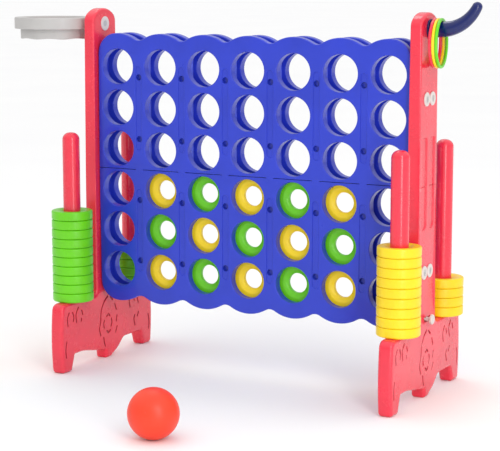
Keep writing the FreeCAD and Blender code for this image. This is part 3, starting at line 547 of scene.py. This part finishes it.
def panel_outline(node, upper):
    """Half a board: its wavy edge, and the seam with a tab or a notch at each divider."""
    low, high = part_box(node)
    row = (HIGH_ROW if upper else LOW_ROW) + (ROW if upper else -ROW)
    flip = 1 if upper else -1
    edge = wave(abs((high.z if upper else low.z) - row), high.x)
    edge[:, 1] = row + flip * edge[:, 1]
    seam_z = SEAM + flip * SEAM_GAP
    slip = 0.0 if upper else TAB_SLIP
    reach = TAB_REACH + slip
    half = TAB_HALF + slip
    seam = [(-high.x, seam_z)]
    for x in DIVIDERS:
        seam += [(x - half, seam_z), (x - half, SEAM - reach), (x + half, SEAM - reach), (x + half, seam_z)]
    seam.append((high.x, seam_z))
    return np.vstack((edge, seam))


def flute_marks(middle_row):
    """The sunk channel down each divider, with two deep screw recesses in it."""
    marks = []
    for x in DIVIDERS:
        line = np.array([(x, middle_row + rise) for rise in np.linspace(-FLUTE_HALF, FLUTE_HALF, 18)])
        for half, depth, painted_shade_strength in FLUTE_STEPS:
            marks.append((capsule(line, half * MM), depth * MM, painted_shade_strength))
        for step in (-1, 1):
            z = middle_row + step * RECESS_OFFSET
            for radius, depth, painted_shade_strength in RECESS_STEPS:
                marks.append((circle(x, z, radius * MM, 28), depth * MM, painted_shade_strength))
    return marks


def make_panels():
    """The four half boards."""
    for depth, sign in DEPTHS.items():
        for half in ("upper", "lower"):
            node = f"{depth}_{half}_panel"
            low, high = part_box(node)
            outline = panel_outline(node, half == "upper")
            middle_row = HIGH_ROW if half == "upper" else LOW_ROW
            holes = [(circle(x, middle_row + step * ROW, WINDOW), WINDOW_FRONT_ROUND, WINDOW_BACK_ROUND)
                     for x in COLUMNS for step in (-1, 0, 1)]

            def radius(points):
                above = points[:, 1] - SEAM
                at_seam = np.abs(above) < TAB_REACH + 3 * MM
                return np.where(at_seam, np.where(above < -1.5 * MM, 0.12 * MM, 0.7 * MM), BOARD_ROUND)

            faces_at = (low.y, high.y) if sign < 0 else (high.y, low.y)
            shell = plate(f"{depth}_{half}_half_board", "y", faces_at, outline, radius, holes,
                          (flute_marks(middle_row), ()))
            dress(shell, "root", "blue_plastic", node)


def make_dividers():
    """Bars between the two boards, each in two halves that meet at a joint, and the end strips."""
    low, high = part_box("column_dividers")
    half, joint = 9 * MM, 0.2 * MM
    strip_width, strip_foot = 5.5 * MM, SHOULDER + 24.5 * MM
    for number, x in enumerate(DIVIDERS, start=1):
        outline = path([(x - half, low.z), (x + half, low.z), (x + half, high.z - half),
                        (x - half, high.z - half, x, high.z)])
        for depth, faces_at in (("front", (low.y, -joint)), ("back", (joint, high.y))):
            bar = plate(f"{depth}_divider_bar_{number}", "y", faces_at, outline, lambda points: 1.5 * MM)
            # The bars take the lighter blue copy, a painted highlight.
            dress(bar, "root", "blue_plastic", "column_dividers", material="painted_highlight_blue")
    for side, sign in SIDES.items():
        inner, outer = sign * (high.x - strip_width), sign * high.x
        left, right = min(inner, outer), max(inner, outer)
        top = high.z - half
        outline = path([(left, strip_foot), (right, strip_foot), (right, top), (left, top)])
        strip = plate(f"{side}_end_strip", "y", (low.y, high.y), outline, lambda points: 0.6 * MM)
        dress(strip, "root", "blue_plastic", "column_dividers")


# --- Feet, posts and pegs ---------------------------------------------

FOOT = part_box("right_leg")
SHOULDER = 205 * MM
FOOT_ROUND = 9.5 * MM
POST_ROUND = 7 * MM
SEAM_ROUND = 0.4 * MM
POST_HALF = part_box("right_upper_post")[1].y
CHANNEL_HALF = 19 * MM
CHANNEL_OFFSET = 27 * MM
CHANNEL_LOW = 487 * MM
CHANNEL_TOP = 721 * MM
CHANNEL_CORNER = 6 * MM
CHANNEL_GAP = 0.55 * MM
# How far each nested outline is drawn in and how deep it is, in millimetres, and the darkness of its painted
# shade.
CHANNEL_STEPS = ((0.0, 0.0, 0.0), (1.2, 0.8, 0.0), (2.6, 3.0, 0.05))


def foot_outline():
    """Side view of a foot and its lower post, front to the left, in metres."""
    half = FOOT[1].y / MM - 5
    ends = [
        (half - 70, 47), (half - 63, 39, half - 65, 45), (half - 52, 9), (half - 43, 0, half - 50, 3),
        (half - 11, 0), (half, 11, half - 3.2, 3.2), (half, 183, half + 5, 92),
        (half - 22, 205, half - 6.4, 198.6), (74, 205), (62, 217, 65.5, 208.5), (62, SEAM / MM),
    ]
    front = [(9, 0), (13, 4, 11.8, 1.2), (15, 19), (22, 26, 16.6, 24), (107, 42, 65, 34),
             (142, 47, 124, 45), *ends]
    back = [(14, 0), (23, 5, 19, 1.4), (77, 38, 54, 19.5), (97, 47, 86, 44), *ends]
    mirrored = []
    for index in range(len(front) - 1, -1, -1):
        point = front[index]
        after = front[index + 1] if index + 1 < len(front) else ()
        mirrored.append((-point[0], point[1], *((-after[2], after[3]) if len(after) == 4 else ())))
    return path(mirrored + back, 5.0) * MM


# Grooves on a foot's faces in (y, z) millimetres: a plain pebble motif with loose dashes.
FOOT_STROKES = [
    [(-6, 190), (-26, 176), (-42, 150), (-46, 118), (-53, 96), (-46, 76)], [(8, 186), (22, 176)],
    [(34, 160), (42, 142)], [(46, 122), (42, 106)], [(46, 88), (38, 72)],
    [(-30, 66), (-27, 52), (-22, 38)], [(-24, 118), (-29, 108), (-27, 96)],
    [(-12, 130), (-2, 134), (6, 128)], [(14, 118), (17, 106), (12, 95)], [(-12, 84), (-2, 78), (8, 84)],
    [(-214, 176), (-223, 160), (-221, 138)], [(-196, 174), (-190, 160), (-193, 148)],
    [(-166, 184), (-178, 166), (-176, 142)], [(-148, 172), (-143, 160)], [(-149, 148), (-151, 142)],
    [(130, 176), (118, 158), (122, 134)], [(142, 166), (147, 152)],
    [(176, 184), (164, 164), (170, 140)], [(190, 172), (196, 158)],
    [(150, 104), (144, 92), (150, 72)], [(172, 110), (164, 98)],
    [(-229, 92), (-234, 70), (-232, 46)], [(229, 92), (234, 70), (232, 46)],
]


def groove_marks():
    """The strokes as rounded grooves: their mouth, their shoulders and their floor."""
    marks = []
    for stroke in FOOT_STROKES:
        line = spline(stroke) * MM
        for half, depth, painted_shade_strength in GROOVE_STEPS:
            marks.append((capsule(line, half * MM), depth * MM, painted_shade_strength))
    return marks


def channel_marks(top_half):
    """Two sunk channels on a post's outer face; the seam divides them between leg and post."""
    marks, corner_in = [], 0.3 * CHANNEL_CORNER
    for side in SIDES.values():
        y = side * CHANNEL_OFFSET
        for shrink, depth, painted_shade_strength in CHANNEL_STEPS:
            half = CHANNEL_HALF - shrink * MM
            if top_half:
                top, end = CHANNEL_TOP - shrink * MM, SEAM + CHANNEL_GAP
                straight, curve = top - CHANNEL_CORNER, top - corner_in
                outline = [(y - half, end), (y + half, end), (y + half, straight),
                           (y + half - CHANNEL_CORNER, top, y + half - corner_in, curve),
                           (y - half + CHANNEL_CORNER, top),
                           (y - half, straight, y - half + corner_in, curve)]
            else:
                end = SEAM - CHANNEL_GAP
                outline = [(y + half, end), (y - half, end), (y - half, CHANNEL_LOW),
                           (y + half, CHANNEL_LOW, y, CHANNEL_LOW - half)]
            marks.append((path(outline), depth * MM, painted_shade_strength))
    return marks


def make_legs():
    """Foot and lower post as one moulding that narrows smoothly above the foot."""
    for side, sign in SIDES.items():
        low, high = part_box(f"{side}_leg")
        post_low, post_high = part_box(f"{side}_upper_post")
        inner, outer = (low.x, high.x) if sign > 0 else (high.x, low.x)
        steps = (abs(inner - (post_low.x if sign > 0 else post_high.x)),
                 abs(outer - (post_high.x if sign > 0 else post_low.x)))

        def flow(y, z, face):
            return steps[face] * smooth(z, SHOULDER - 8 * MM, SHOULDER + 90 * MM)

        def radius(points):
            z = points[:, 1]
            narrowing = smooth(z, SHOULDER - 10 * MM, SHOULDER + 60 * MM)
            round_edge = FOOT_ROUND - (FOOT_ROUND - POST_ROUND) * narrowing
            return np.where(z > SEAM - 0.5 * MM, SEAM_ROUND, round_edge)

        holes = []
        if sign > 0:
            tail_low, tail_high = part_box("release_slider")
            room = 0.8 * MM
            side_y, foot_z, top_z = tail_high.y + room, tail_low.z - room, tail_high.z + room
            holes.append((path([(-side_y, foot_z), (side_y, foot_z), (side_y, top_z), (-side_y, top_z)]),
                          1.0 * MM, 1.2 * MM))
        relief = groove_marks()
        leg = plate(f"{side}_foot_moulding", "x", (inner, outer), foot_outline(), radius, holes,
                    (relief, relief + channel_marks(False)), flow, 12 * MM)
        dress(leg, "root", "red_plastic", f"{side}_leg")


def make_posts():
    """Upper posts with a domed top: two tight side arcs and a flatter crown that meets them smoothly."""
    rise, side_radius = 40 * MM, 30 * MM
    run = POST_HALF - side_radius
    crown = (run ** 2 + rise ** 2 - side_radius ** 2) / (2 * (rise - side_radius))
    lean = math.degrees(math.atan2(crown - rise, run))
    for side, sign in SIDES.items():
        low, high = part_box(f"{side}_upper_post")
        inner, outer = (low.x, high.x) if sign > 0 else (high.x, low.x)
        outline = np.vstack(([(-POST_HALF, SEAM), (POST_HALF, SEAM)],
                             arc(run, high.z - rise, side_radius, 0, lean, 3 * MM)[:-1],
                             arc(0, high.z - crown, crown, lean, 180 - lean),
                             arc(-run, high.z - rise, side_radius, 180 - lean, 180, 3 * MM)[1:]))

        def radius(points):
            return np.where(points[:, 1] < SEAM + 0.5 * MM, SEAM_ROUND, POST_ROUND)

        post = plate(f"{side}_post_moulding", "x", (inner, outer), outline, radius,
                     marks=((), channel_marks(True)), spacing=15 * MM)
        dress(post, "root", "red_plastic", f"{side}_upper_post")


def make_pegs():
    """Storage pegs: a round bar with a domed top and a small foot flange."""
    for depth in DEPTHS:
        for side in SIDES:
            node = f"{depth}_{side}_peg"
            low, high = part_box(node)
            radius = (high.x - low.x) / 2
            dome, spigot = 21 * MM, 12 * MM
            top = radius - 0.8 * MM
            profile = [(0, low.z), (spigot, low.z), (spigot, SHOULDER), (radius, SHOULDER),
                       (radius, SHOULDER + 2 * MM), (radius - 0.5 * MM, SHOULDER + 80 * MM),
                       (top, high.z - dome), *corner(top - dome, high.z - dome, dome, 8, 82, 9), (0, high.z)]
            centre = middle(node)
            points, faces = lathe(profile)
            points, faces = gather([(points, faces, Matrix.Translation((centre.x, centre.y, 0)))])
            dress(finish_mesh(f"{node}_bar", points, faces), "root", "red_plastic", node)


# --- Discs ------------------------------------------------------------

def disc_profile():
    """A disc's section above its middle plane, mirrored below: rounded rim, broad land, sloping throat."""
    low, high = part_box("disc_column2_row5")
    radius, half = (high.x - low.x) / 2, (high.y - low.y) / 2
    bore = 28.5 * MM
    upper = [(bore, 0.0), (bore, half - 8.5 * MM)]
    upper += [(bore + 2.2 * MM - 2.2 * MM * math.cos(a), half - 8.5 * MM + 2.2 * MM * math.sin(a))
              for a in (0.3, 0.6, 0.9)]
    for step in range(9):
        share = step / 8
        upper.append((bore + 2.6 * MM + 11.5 * MM * share, half - 6.4 * MM + 6.4 * MM * (share ** 0.75)))
    upper += [(bore + 15.5 * MM, half - 0.1 * MM), (bore + 17 * MM, half), (radius - 5 * MM, half)]
    upper += [(radius - 4.5 * MM + 4.5 * MM * math.sin(a), half - 4.5 * MM + 4.5 * MM * math.cos(a))
              for a in np.radians([10, 25, 40, 55, 70, 85])]
    upper.append((radius, 0.0))
    return upper + [(r, -z) for r, z in reversed(upper[1:-1])]


DISC = disc_profile()


def make_board_discs():
    """Discs standing in the board, yellow and green by turns."""
    points, faces = lathe(DISC, 64)
    for column in range(2, 7):
        for row in range(4, 7):
            node = f"disc_column{column}_row{row}"
            turn = Matrix.Translation(middle(node)) @ Matrix.Rotation(math.radians(90), 4, "X")
            turn @= Matrix.Rotation(math.radians(37 * column + 71 * row), 4, "Z")
            mesh = gather([(points, faces, turn)])
            colour = "yellow_plastic" if (column + row) % 2 == 0 else "green_plastic"
            dress(finish_mesh(f"board_disc_{column}_{row}", *mesh), node, colour, node)


STACKS = {"front_left": (8, 10), "back_left": (3, 4), "front_right": (7, 9), "back_right": (3, 4)}


def make_stacks():
    """Discs on the pegs, each turned a little from the one below."""
    points, faces = lathe(DISC, 64)
    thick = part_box("disc_column2_row5")
    thick = thick[1].y - thick[0].y
    for place, (together, total) in STACKS.items():
        colour = "green_plastic" if place.endswith("left") else "yellow_plastic"
        node = f"{place}_disc_stack"
        low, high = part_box(node)
        pitch = (high.z - low.z - thick) / (together - 1)
        centre = middle(node)
        parts = [(points, faces, Matrix.Translation((centre.x, centre.y, low.z + thick / 2 + level * pitch))
                  @ Matrix.Rotation(math.radians(53 * level), 4, "Z")) for level in range(together)]
        dress(finish_mesh(f"{place}_lower_discs", *gather(parts)), node, colour, node)
        for level in range(together + 1, total + 1):
            node = f"{place}_disc_{level}"
            turn = Matrix.Translation(middle(node)) @ Matrix.Rotation(level, 4, "Z")
            mesh = gather([(points, faces, turn)])
            dress(finish_mesh(f"{place}_top_disc_{level}", *mesh), node, colour, node)


# --- Caps, knob and accessories ---------------------------------------

def along_x(x, y, z, sign):
    """Stands a turned piece on end so that its +Z points along +X or -X."""
    return Matrix.Translation((x, y, z)) @ Matrix.Rotation(math.radians(90 * sign), 4, "Y")


def cross_slot(size, depth):
    """A raised cross-head insert with a sunk cross, as one small mesh lying on z = 0."""
    arm, width = size * 0.62, size * 0.2
    outer = [(size * math.cos(a), size * math.sin(a)) for a in np.radians(np.arange(0, 360, 15))]
    cross = [(arm, -width), (arm, width), (width, width), (width, arm), (-width, arm), (-width, width),
             (-arm, width), (-arm, -width), (-width, -width), (-width, -arm), (width, -arm), (width, -width)]
    flat = [Vector(p) for p in outer + cross]
    rings = [(i, (i + 1) % 24) for i in range(24)] + [(24 + i, 24 + (i + 1) % 12) for i in range(12)]
    made, _, triangles, _, _, _ = delaunay_2d_cdt(flat, rings, [], 0, 1e-7)
    spots = np.array([tuple(v) for v in made])
    faces, in_cross = [], []
    for triangle in triangles:
        centre = spots[list(triangle)].mean(axis=0)[None, :]
        sunk = inside(centre, np.array(cross))[0]
        if inside(centre, np.array(outer))[0]:
            (in_cross if sunk else faces).append(tuple(triangle))
    count = len(spots)
    points = [(x, y, -level * depth) for level in range(3) for x, y in spots]
    faces += [tuple(count + i for i in t) for t in in_cross]
    faces += [(24 + i, 24 + (i + 1) % 12, count + 24 + (i + 1) % 12, count + 24 + i) for i in range(12)]
    faces += [(i, (i + 1) % 24, 2 * count + (i + 1) % 24, 2 * count + i) for i in range(24)]
    faces.append(tuple(2 * count + i for i in range(24)))
    return points, faces


def cap_profile(radius, height, hole):
    """A domed washer cap, from its back plate round to the rim of its middle hole."""
    return ([(0, 0.0), (radius - 0.6 * MM, 0.0), (radius, 0.6 * MM)]
            + corner(radius - 1.8 * MM, height - 2.2 * MM, 1.8 * MM, 5, 80)
            + [(hole + 1.6 * MM, height - 0.1 * MM)]
            + corner(hole + 1.0 * MM, height - 0.9 * MM, 0.8 * MM, 90, 180, 4)
            + [(hole, height - 2.6 * MM), (0, height - 2.6 * MM)])


def make_caps():
    """White caps over the post screws, with a grey cross-head insert in each."""
    for side, sign in SIDES.items():
        node = f"{side}_screw_caps"
        low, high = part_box(node)
        height, radius = high.x - low.x, 19 * MM
        face = low.x if sign > 0 else high.x
        caps, inserts = [], []
        for z in (low.z + radius, high.z - radius):
            for y in (low.y + radius, high.y - radius):
                turn = along_x(face, y, z, sign)
                caps.append((*lathe(cap_profile(radius, height, 8.6 * MM), 40), turn))
                inserts.append((*cross_slot(8.0 * MM, 1.0 * MM),
                                turn @ Matrix.Translation((0, 0, height - 0.9 * MM))
                                @ Matrix.Rotation(0.5 + 9 * y + 3 * z, 4, "Z")))
        dress(finish_mesh(f"{side}_cap_set", *gather(caps)), "root", "white_plastic", node)
        dress(finish_mesh(f"{side}_cap_inserts", *gather(inserts)), "root", "grey_plastic")
    for side, accessory in (("left", "hoop"), ("right", "hook")):
        node = f"{accessory}_bolt_cap"
        low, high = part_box(node)
        sign = -SIDES[side]
        face = low.x if sign > 0 else high.x
        turn = along_x(face, 0, middle(node).z, sign)
        height = high.x - low.x
        radius = (high.z - low.z) / 2
        edge = 0.8 * MM
        profile = ([(0, 0.0), (radius, 0.0)] + corner(radius - edge, height - edge, edge, 0, 90, 4)
                   + [(9.6 * MM, height), (9.2 * MM, height - 0.9 * MM), (0, height - 0.9 * MM)])
        mesh = gather([(*lathe(profile, 40), turn)])
        dress(finish_mesh(f"{accessory}_cap_washer", *mesh), "root", "white_plastic", node)
        insert = turn @ Matrix.Translation((0, 0, height - 0.25 * MM))
        mesh = gather([(*cross_slot(8.4 * MM, 0.3 * MM), insert)])
        dress(finish_mesh(f"{accessory}_cap_insert", *mesh), "root", "grey_plastic")


def make_knob():
    """The slider's pull: a flat knob with a dished face on a stem with a collar."""
    low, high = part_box("slider_knob")
    radius, tail = (high.z - low.z) / 2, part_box("release_slider")[1].x
    knob = high.x - 7 * MM
    profile = [(0, low.x), (4.4 * MM, low.x), (4.4 * MM, tail), (5.9 * MM, tail), (5.9 * MM, knob - 1 * MM),
               (7 * MM, knob), (radius - 1.5 * MM, knob)]
    profile += corner(radius - 1.5 * MM, knob + 1.5 * MM, 1.5 * MM, -80, 0, 4)
    profile += corner(radius - 2.5 * MM, high.x - 2.5 * MM, 2.5 * MM, 0, 90)
    profile += [(radius * 0.55, high.x - 0.4 * MM), (radius * 0.3, high.x - 1.1 * MM), (0, high.x - 1.4 * MM)]
    mesh = gather([(*lathe(profile, 48), along_x(0, 0, middle("slider_knob").z, 1))])
    dress(finish_mesh("slider_pull_knob", *mesh), "release_slider", "white_plastic", "slider_knob")


def make_hoop():
    """Basket hoop: a rounded rim over a narrower skirt whose lower edge is scalloped."""
    low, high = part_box("hoop")
    centre = middle("hoop")
    radius = (high.x - low.x) / 2
    rim, wall, skirt = 34 * MM, 4.5 * MM, 106.5 * MM
    inner = skirt - wall
    profile = [(inner + 1.5 * MM, low.z), (skirt - 1.5 * MM, low.z), (skirt, low.z + 1.5 * MM),
               (skirt, low.z + 12 * MM), (skirt, low.z + 22 * MM), (skirt, high.z - rim + 6 * MM),
               (skirt + 3 * MM, high.z - wall), (radius - wall - 2 * MM, high.z - wall),
               (radius - wall, high.z - wall - 2 * MM), (radius - wall, high.z - rim + 1 * MM),
               (radius - wall + 1 * MM, high.z - rim), (radius - 1.2 * MM, high.z - rim),
               (radius, high.z - rim + 1.2 * MM)]
    profile += corner(radius - 4 * MM, high.z - 4 * MM, 4 * MM, 0, 90)
    profile += corner(inner + 4 * MM, high.z - 4 * MM, 4 * MM, 90, 180)
    profile += [(inner, low.z + 22 * MM), (inner, low.z + 12 * MM), (inner, low.z + 1.5 * MM)]
    scallops = 8

    def wobble(angle, r, z):
        near = 1 - smooth(z, low.z, low.z + 26 * MM)
        swell = math.cos(scallops * angle)
        return r - 0.5 * MM * near * (1 - swell), z + 1.2 * MM * near * (1 - swell)

    mesh = gather([(*lathe(profile, 160, wobble), Matrix.Translation((centre.x, centre.y, 0)))])
    dress(finish_mesh("basket_hoop", *mesh), "root", "grey_plastic", "hoop")


def make_hook():
    """Ring hook: a flange and a tapering horn that curves up to a round tip."""
    low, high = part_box("ring_hook")
    height, bend, sweep = 1010 * MM, 108 * MM, math.radians(63.5)
    root, tip, straight = high.y - 6 * MM, 14 * MM, 34 * MM
    stations = [(0.0, root + 6 * MM), (0.0, root + 6 * MM)]
    stations += [(3.6 * MM, root + 6 * MM), (4.6 * MM, root + 5.4 * MM), (5 * MM, root + 4.2 * MM),
                 (5.6 * MM, root + 1.6 * MM), (7.2 * MM, root + 0.4 * MM), (10 * MM, root)]
    for step in range(1, 5):
        stations.append((10 * MM + (straight - 10 * MM) * step / 4, root))
    arc_length = bend * sweep
    for step in range(1, 25):
        stations.append((straight + arc_length * step / 24, root + (tip - root) * step / 24))
    end = straight + arc_length
    for step in range(1, 9):
        angle = math.radians(90) * step / 8
        stations.append((end + tip * math.sin(angle), tip * math.cos(angle)))
    count = 48
    points, faces = [], []
    for number, (length, radius) in enumerate(stations):
        turn = min(max(length - straight, 0.0) / bend, sweep)
        past = max(length - end, 0.0)
        x = low.x + min(length, straight) + bend * math.sin(turn) + past * math.cos(turn)
        z = height + bend * (1 - math.cos(turn)) + past * math.sin(turn)
        if number == 0:
            radius = 0.0
        for step in range(count):
            angle = math.tau * step / count
            across, up = radius * math.sin(angle), radius * math.cos(angle)
            points.append((x - up * math.sin(turn), across, z + up * math.cos(turn)))
    for ring in range(len(stations) - 1):
        for step in range(count):
            a, b = ring * count + step, ring * count + (step + 1) % count
            faces.append((a, b, b + count, a + count))
    dress(finish_mesh("ring_hook_horn", points, faces), "root", "navy_plastic", "ring_hook")


def make_toss_rings():
    """Thin hoops that hang on the hook, each a slightly flattened band."""
    for colour in ("red", "yellow", "green"):
        node = f"{colour}_toss_ring"
        low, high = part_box(node)
        section = 4.15 * MM
        radius = (high.z - low.z) / 2 - section
        profile = []
        for step in range(20):
            angle = math.tau * step / 20
            across, along = math.cos(angle), math.sin(angle)
            profile.append((radius + section * math.copysign(abs(across) ** 0.85, across),
                            section * math.copysign(abs(along) ** 0.85, along)))
        yaw = math.asin(min(1.0, (high.x - low.x - 2 * section) / (2 * radius)))
        turn = Matrix.Translation(middle(node)) @ Matrix.Rotation(yaw, 4, "Z")
        turn @= Matrix.Rotation(math.radians(90), 4, "Y")
        mesh = gather([(*lathe(profile, 96), turn)])
        dress(finish_mesh(f"{colour}_hoop_ring", *mesh), node, f"{colour}_plastic", node)


def make_ball():
    """Play ball: a faint parting line and a sunk valve."""
    low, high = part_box("play_ball")
    radius, centre = (high.x - low.x) / 2, middle("play_ball")
    band = [(math.cos(a), math.sin(a)) for a in np.radians(np.arange(-88.5, 89, 1.5))]
    points, faces = lathe([(0, -1.0), *band, (0, 1.0)], 240)
    towards = Matrix.Rotation(math.radians(14), 4, "Z") @ Matrix.Rotation(math.radians(72), 4, "X")
    valve = towards @ Vector((0, 0, 1))
    parting = Vector((0.94, 0.34, 0.05)).normalized()
    shaped = []
    for point in points:
        way = Vector(point).normalized()
        seam = 0.35 * MM * math.exp(-((way @ parting) / 0.010) ** 2)
        off = math.acos(max(-1.0, min(1.0, way @ valve))) * radius
        collar = 0.5 * MM * math.exp(-((off - 5 * MM) / (1.2 * MM)) ** 2)
        pit = 1.2 * MM * (1 - smooth(off, 1.6 * MM, 3.4 * MM)) - collar
        shaped.append(way * (radius - seam - max(pit, 0.0)))
    mesh = gather([(shaped, faces, Matrix.Translation(centre))])
    dress(finish_mesh("play_ball_skin", *mesh), "play_ball", "ball_rubber", "play_ball")


CARRIED = {
    "screw_steel": ("panel_screws", "left_post_screws", "right_post_screws", "hoop_bolt", "hook_bolt"),
    "white_plastic": ("release_slider",),
    "grey_plastic": ("hoop_bracket",),
}


def paint_frame():
    """CAD nodes that stay get their own moulded or metal material."""
    for slot, names in CARRIED.items():
        for name in names:
            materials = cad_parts[name].data.materials
            materials.clear()
            materials.append(MATERIALS[slot])


# --- Floor, lights and camera -----------------------------------------

def make_floor():
    """A plain pale studio floor that runs to the horizon."""
    mesh = bpy.data.meshes.new("studio_floor")
    reach = 100.0
    corners = [(-reach, -reach, 0), (reach, -reach, 0), (reach, reach, 0), (-reach, reach, 0)]
    mesh.from_pydata(corners, [], [(0, 1, 2, 3)])
    floor = bpy.data.objects.new("studio_floor", mesh)
    bpy.context.scene.collection.objects.link(floor)
    nodes = Nodes("studio_floor")
    cloud = nodes.ramp(nodes.noise(0.8, 2.0), 0.3, 0.7, 0.0, 1.0)
    pale = nodes.mix(cloud, (0.94, 0.94, 0.945, 1.0), (0.96, 0.96, 0.96, 1.0))
    nodes.link(pale, nodes.shader.inputs["Base Color"])
    nodes.shader.inputs["Roughness"].default_value = 0.8
    nodes.shader.inputs["Specular IOR Level"].default_value = 0.2
    mesh.materials.append(nodes.material)


def area_light(name, place, aim, size, power, tall=None):
    """A soft light aimed at a point: round, or a rectangle when it is given a height."""
    light = bpy.data.lights.new(name, "AREA")
    light.shape = "RECTANGLE" if tall else "DISK"
    light.size = size
    light.size_y = tall or size
    light.energy = power
    lamp = bpy.data.objects.new(name, light)
    lamp.location = place
    lamp.visible_camera = False
    lamp.rotation_euler = (Vector(aim) - Vector(place)).to_track_quat("-Z", "Y").to_euler()
    bpy.context.scene.collection.objects.link(lamp)


def make_lights():
    """A white room that dims towards the horizon, a key, a low upright panel and a top light."""
    world = bpy.data.worlds.new("studio")
    bpy.context.scene.world = world
    world.use_nodes = True
    tree = world.node_tree
    background = tree.nodes["Background"]
    background.inputs["Color"].default_value = (1.0, 1.0, 1.0, 1.0)
    split = tree.nodes.new("ShaderNodeSeparateXYZ")
    tree.links.new(tree.nodes.new("ShaderNodeTexCoord").outputs["Generated"], split.inputs["Vector"])
    rise = tree.nodes.new("ShaderNodeMapRange")
    for key, value in (("From Min", 0.0), ("From Max", 0.8), ("To Min", 0.52), ("To Max", 1.18)):
        rise.inputs[key].default_value = value
    tree.links.new(split.outputs["Z"], rise.inputs["Value"])
    tree.links.new(rise.outputs["Result"], background.inputs["Strength"])
    area_light("key", (3.6, -3.6, 3.6), (0.1, 0.0, 0.5), 1.6, 32)
    area_light("panel", (2.35, -2.25, 1.1), (0.3, 0.0, 1.1), 0.6, 24, tall=2.1)
    area_light("top", (-1.0, 1.2, 3.9), (0.3, 0.0, 0.8), 1.3, 10)


def make_camera():
    """The camera at the front right, a little above the game."""
    data = bpy.data.cameras.new("camera")
    data.sensor_width = 36.0
    data.lens = 119.64
    camera = bpy.data.objects.new("camera", data)
    camera.location = (2.17496, -4.17946, 1.16993)
    camera.rotation_euler = (math.radians(90 - 8.79), 0.0, math.radians(27.63))
    bpy.context.scene.collection.objects.link(camera)
    bpy.context.scene.camera = camera
    bpy.context.scene.view_settings.view_transform = "Standard"


make_camera()
make_lights()
make_floor()
make_panels()
make_dividers()
make_legs()
make_posts()
make_pegs()
make_board_discs()
make_stacks()
make_caps()
make_knob()
make_hoop()
make_hook()
make_toss_rings()
make_ball()
paint_frame()
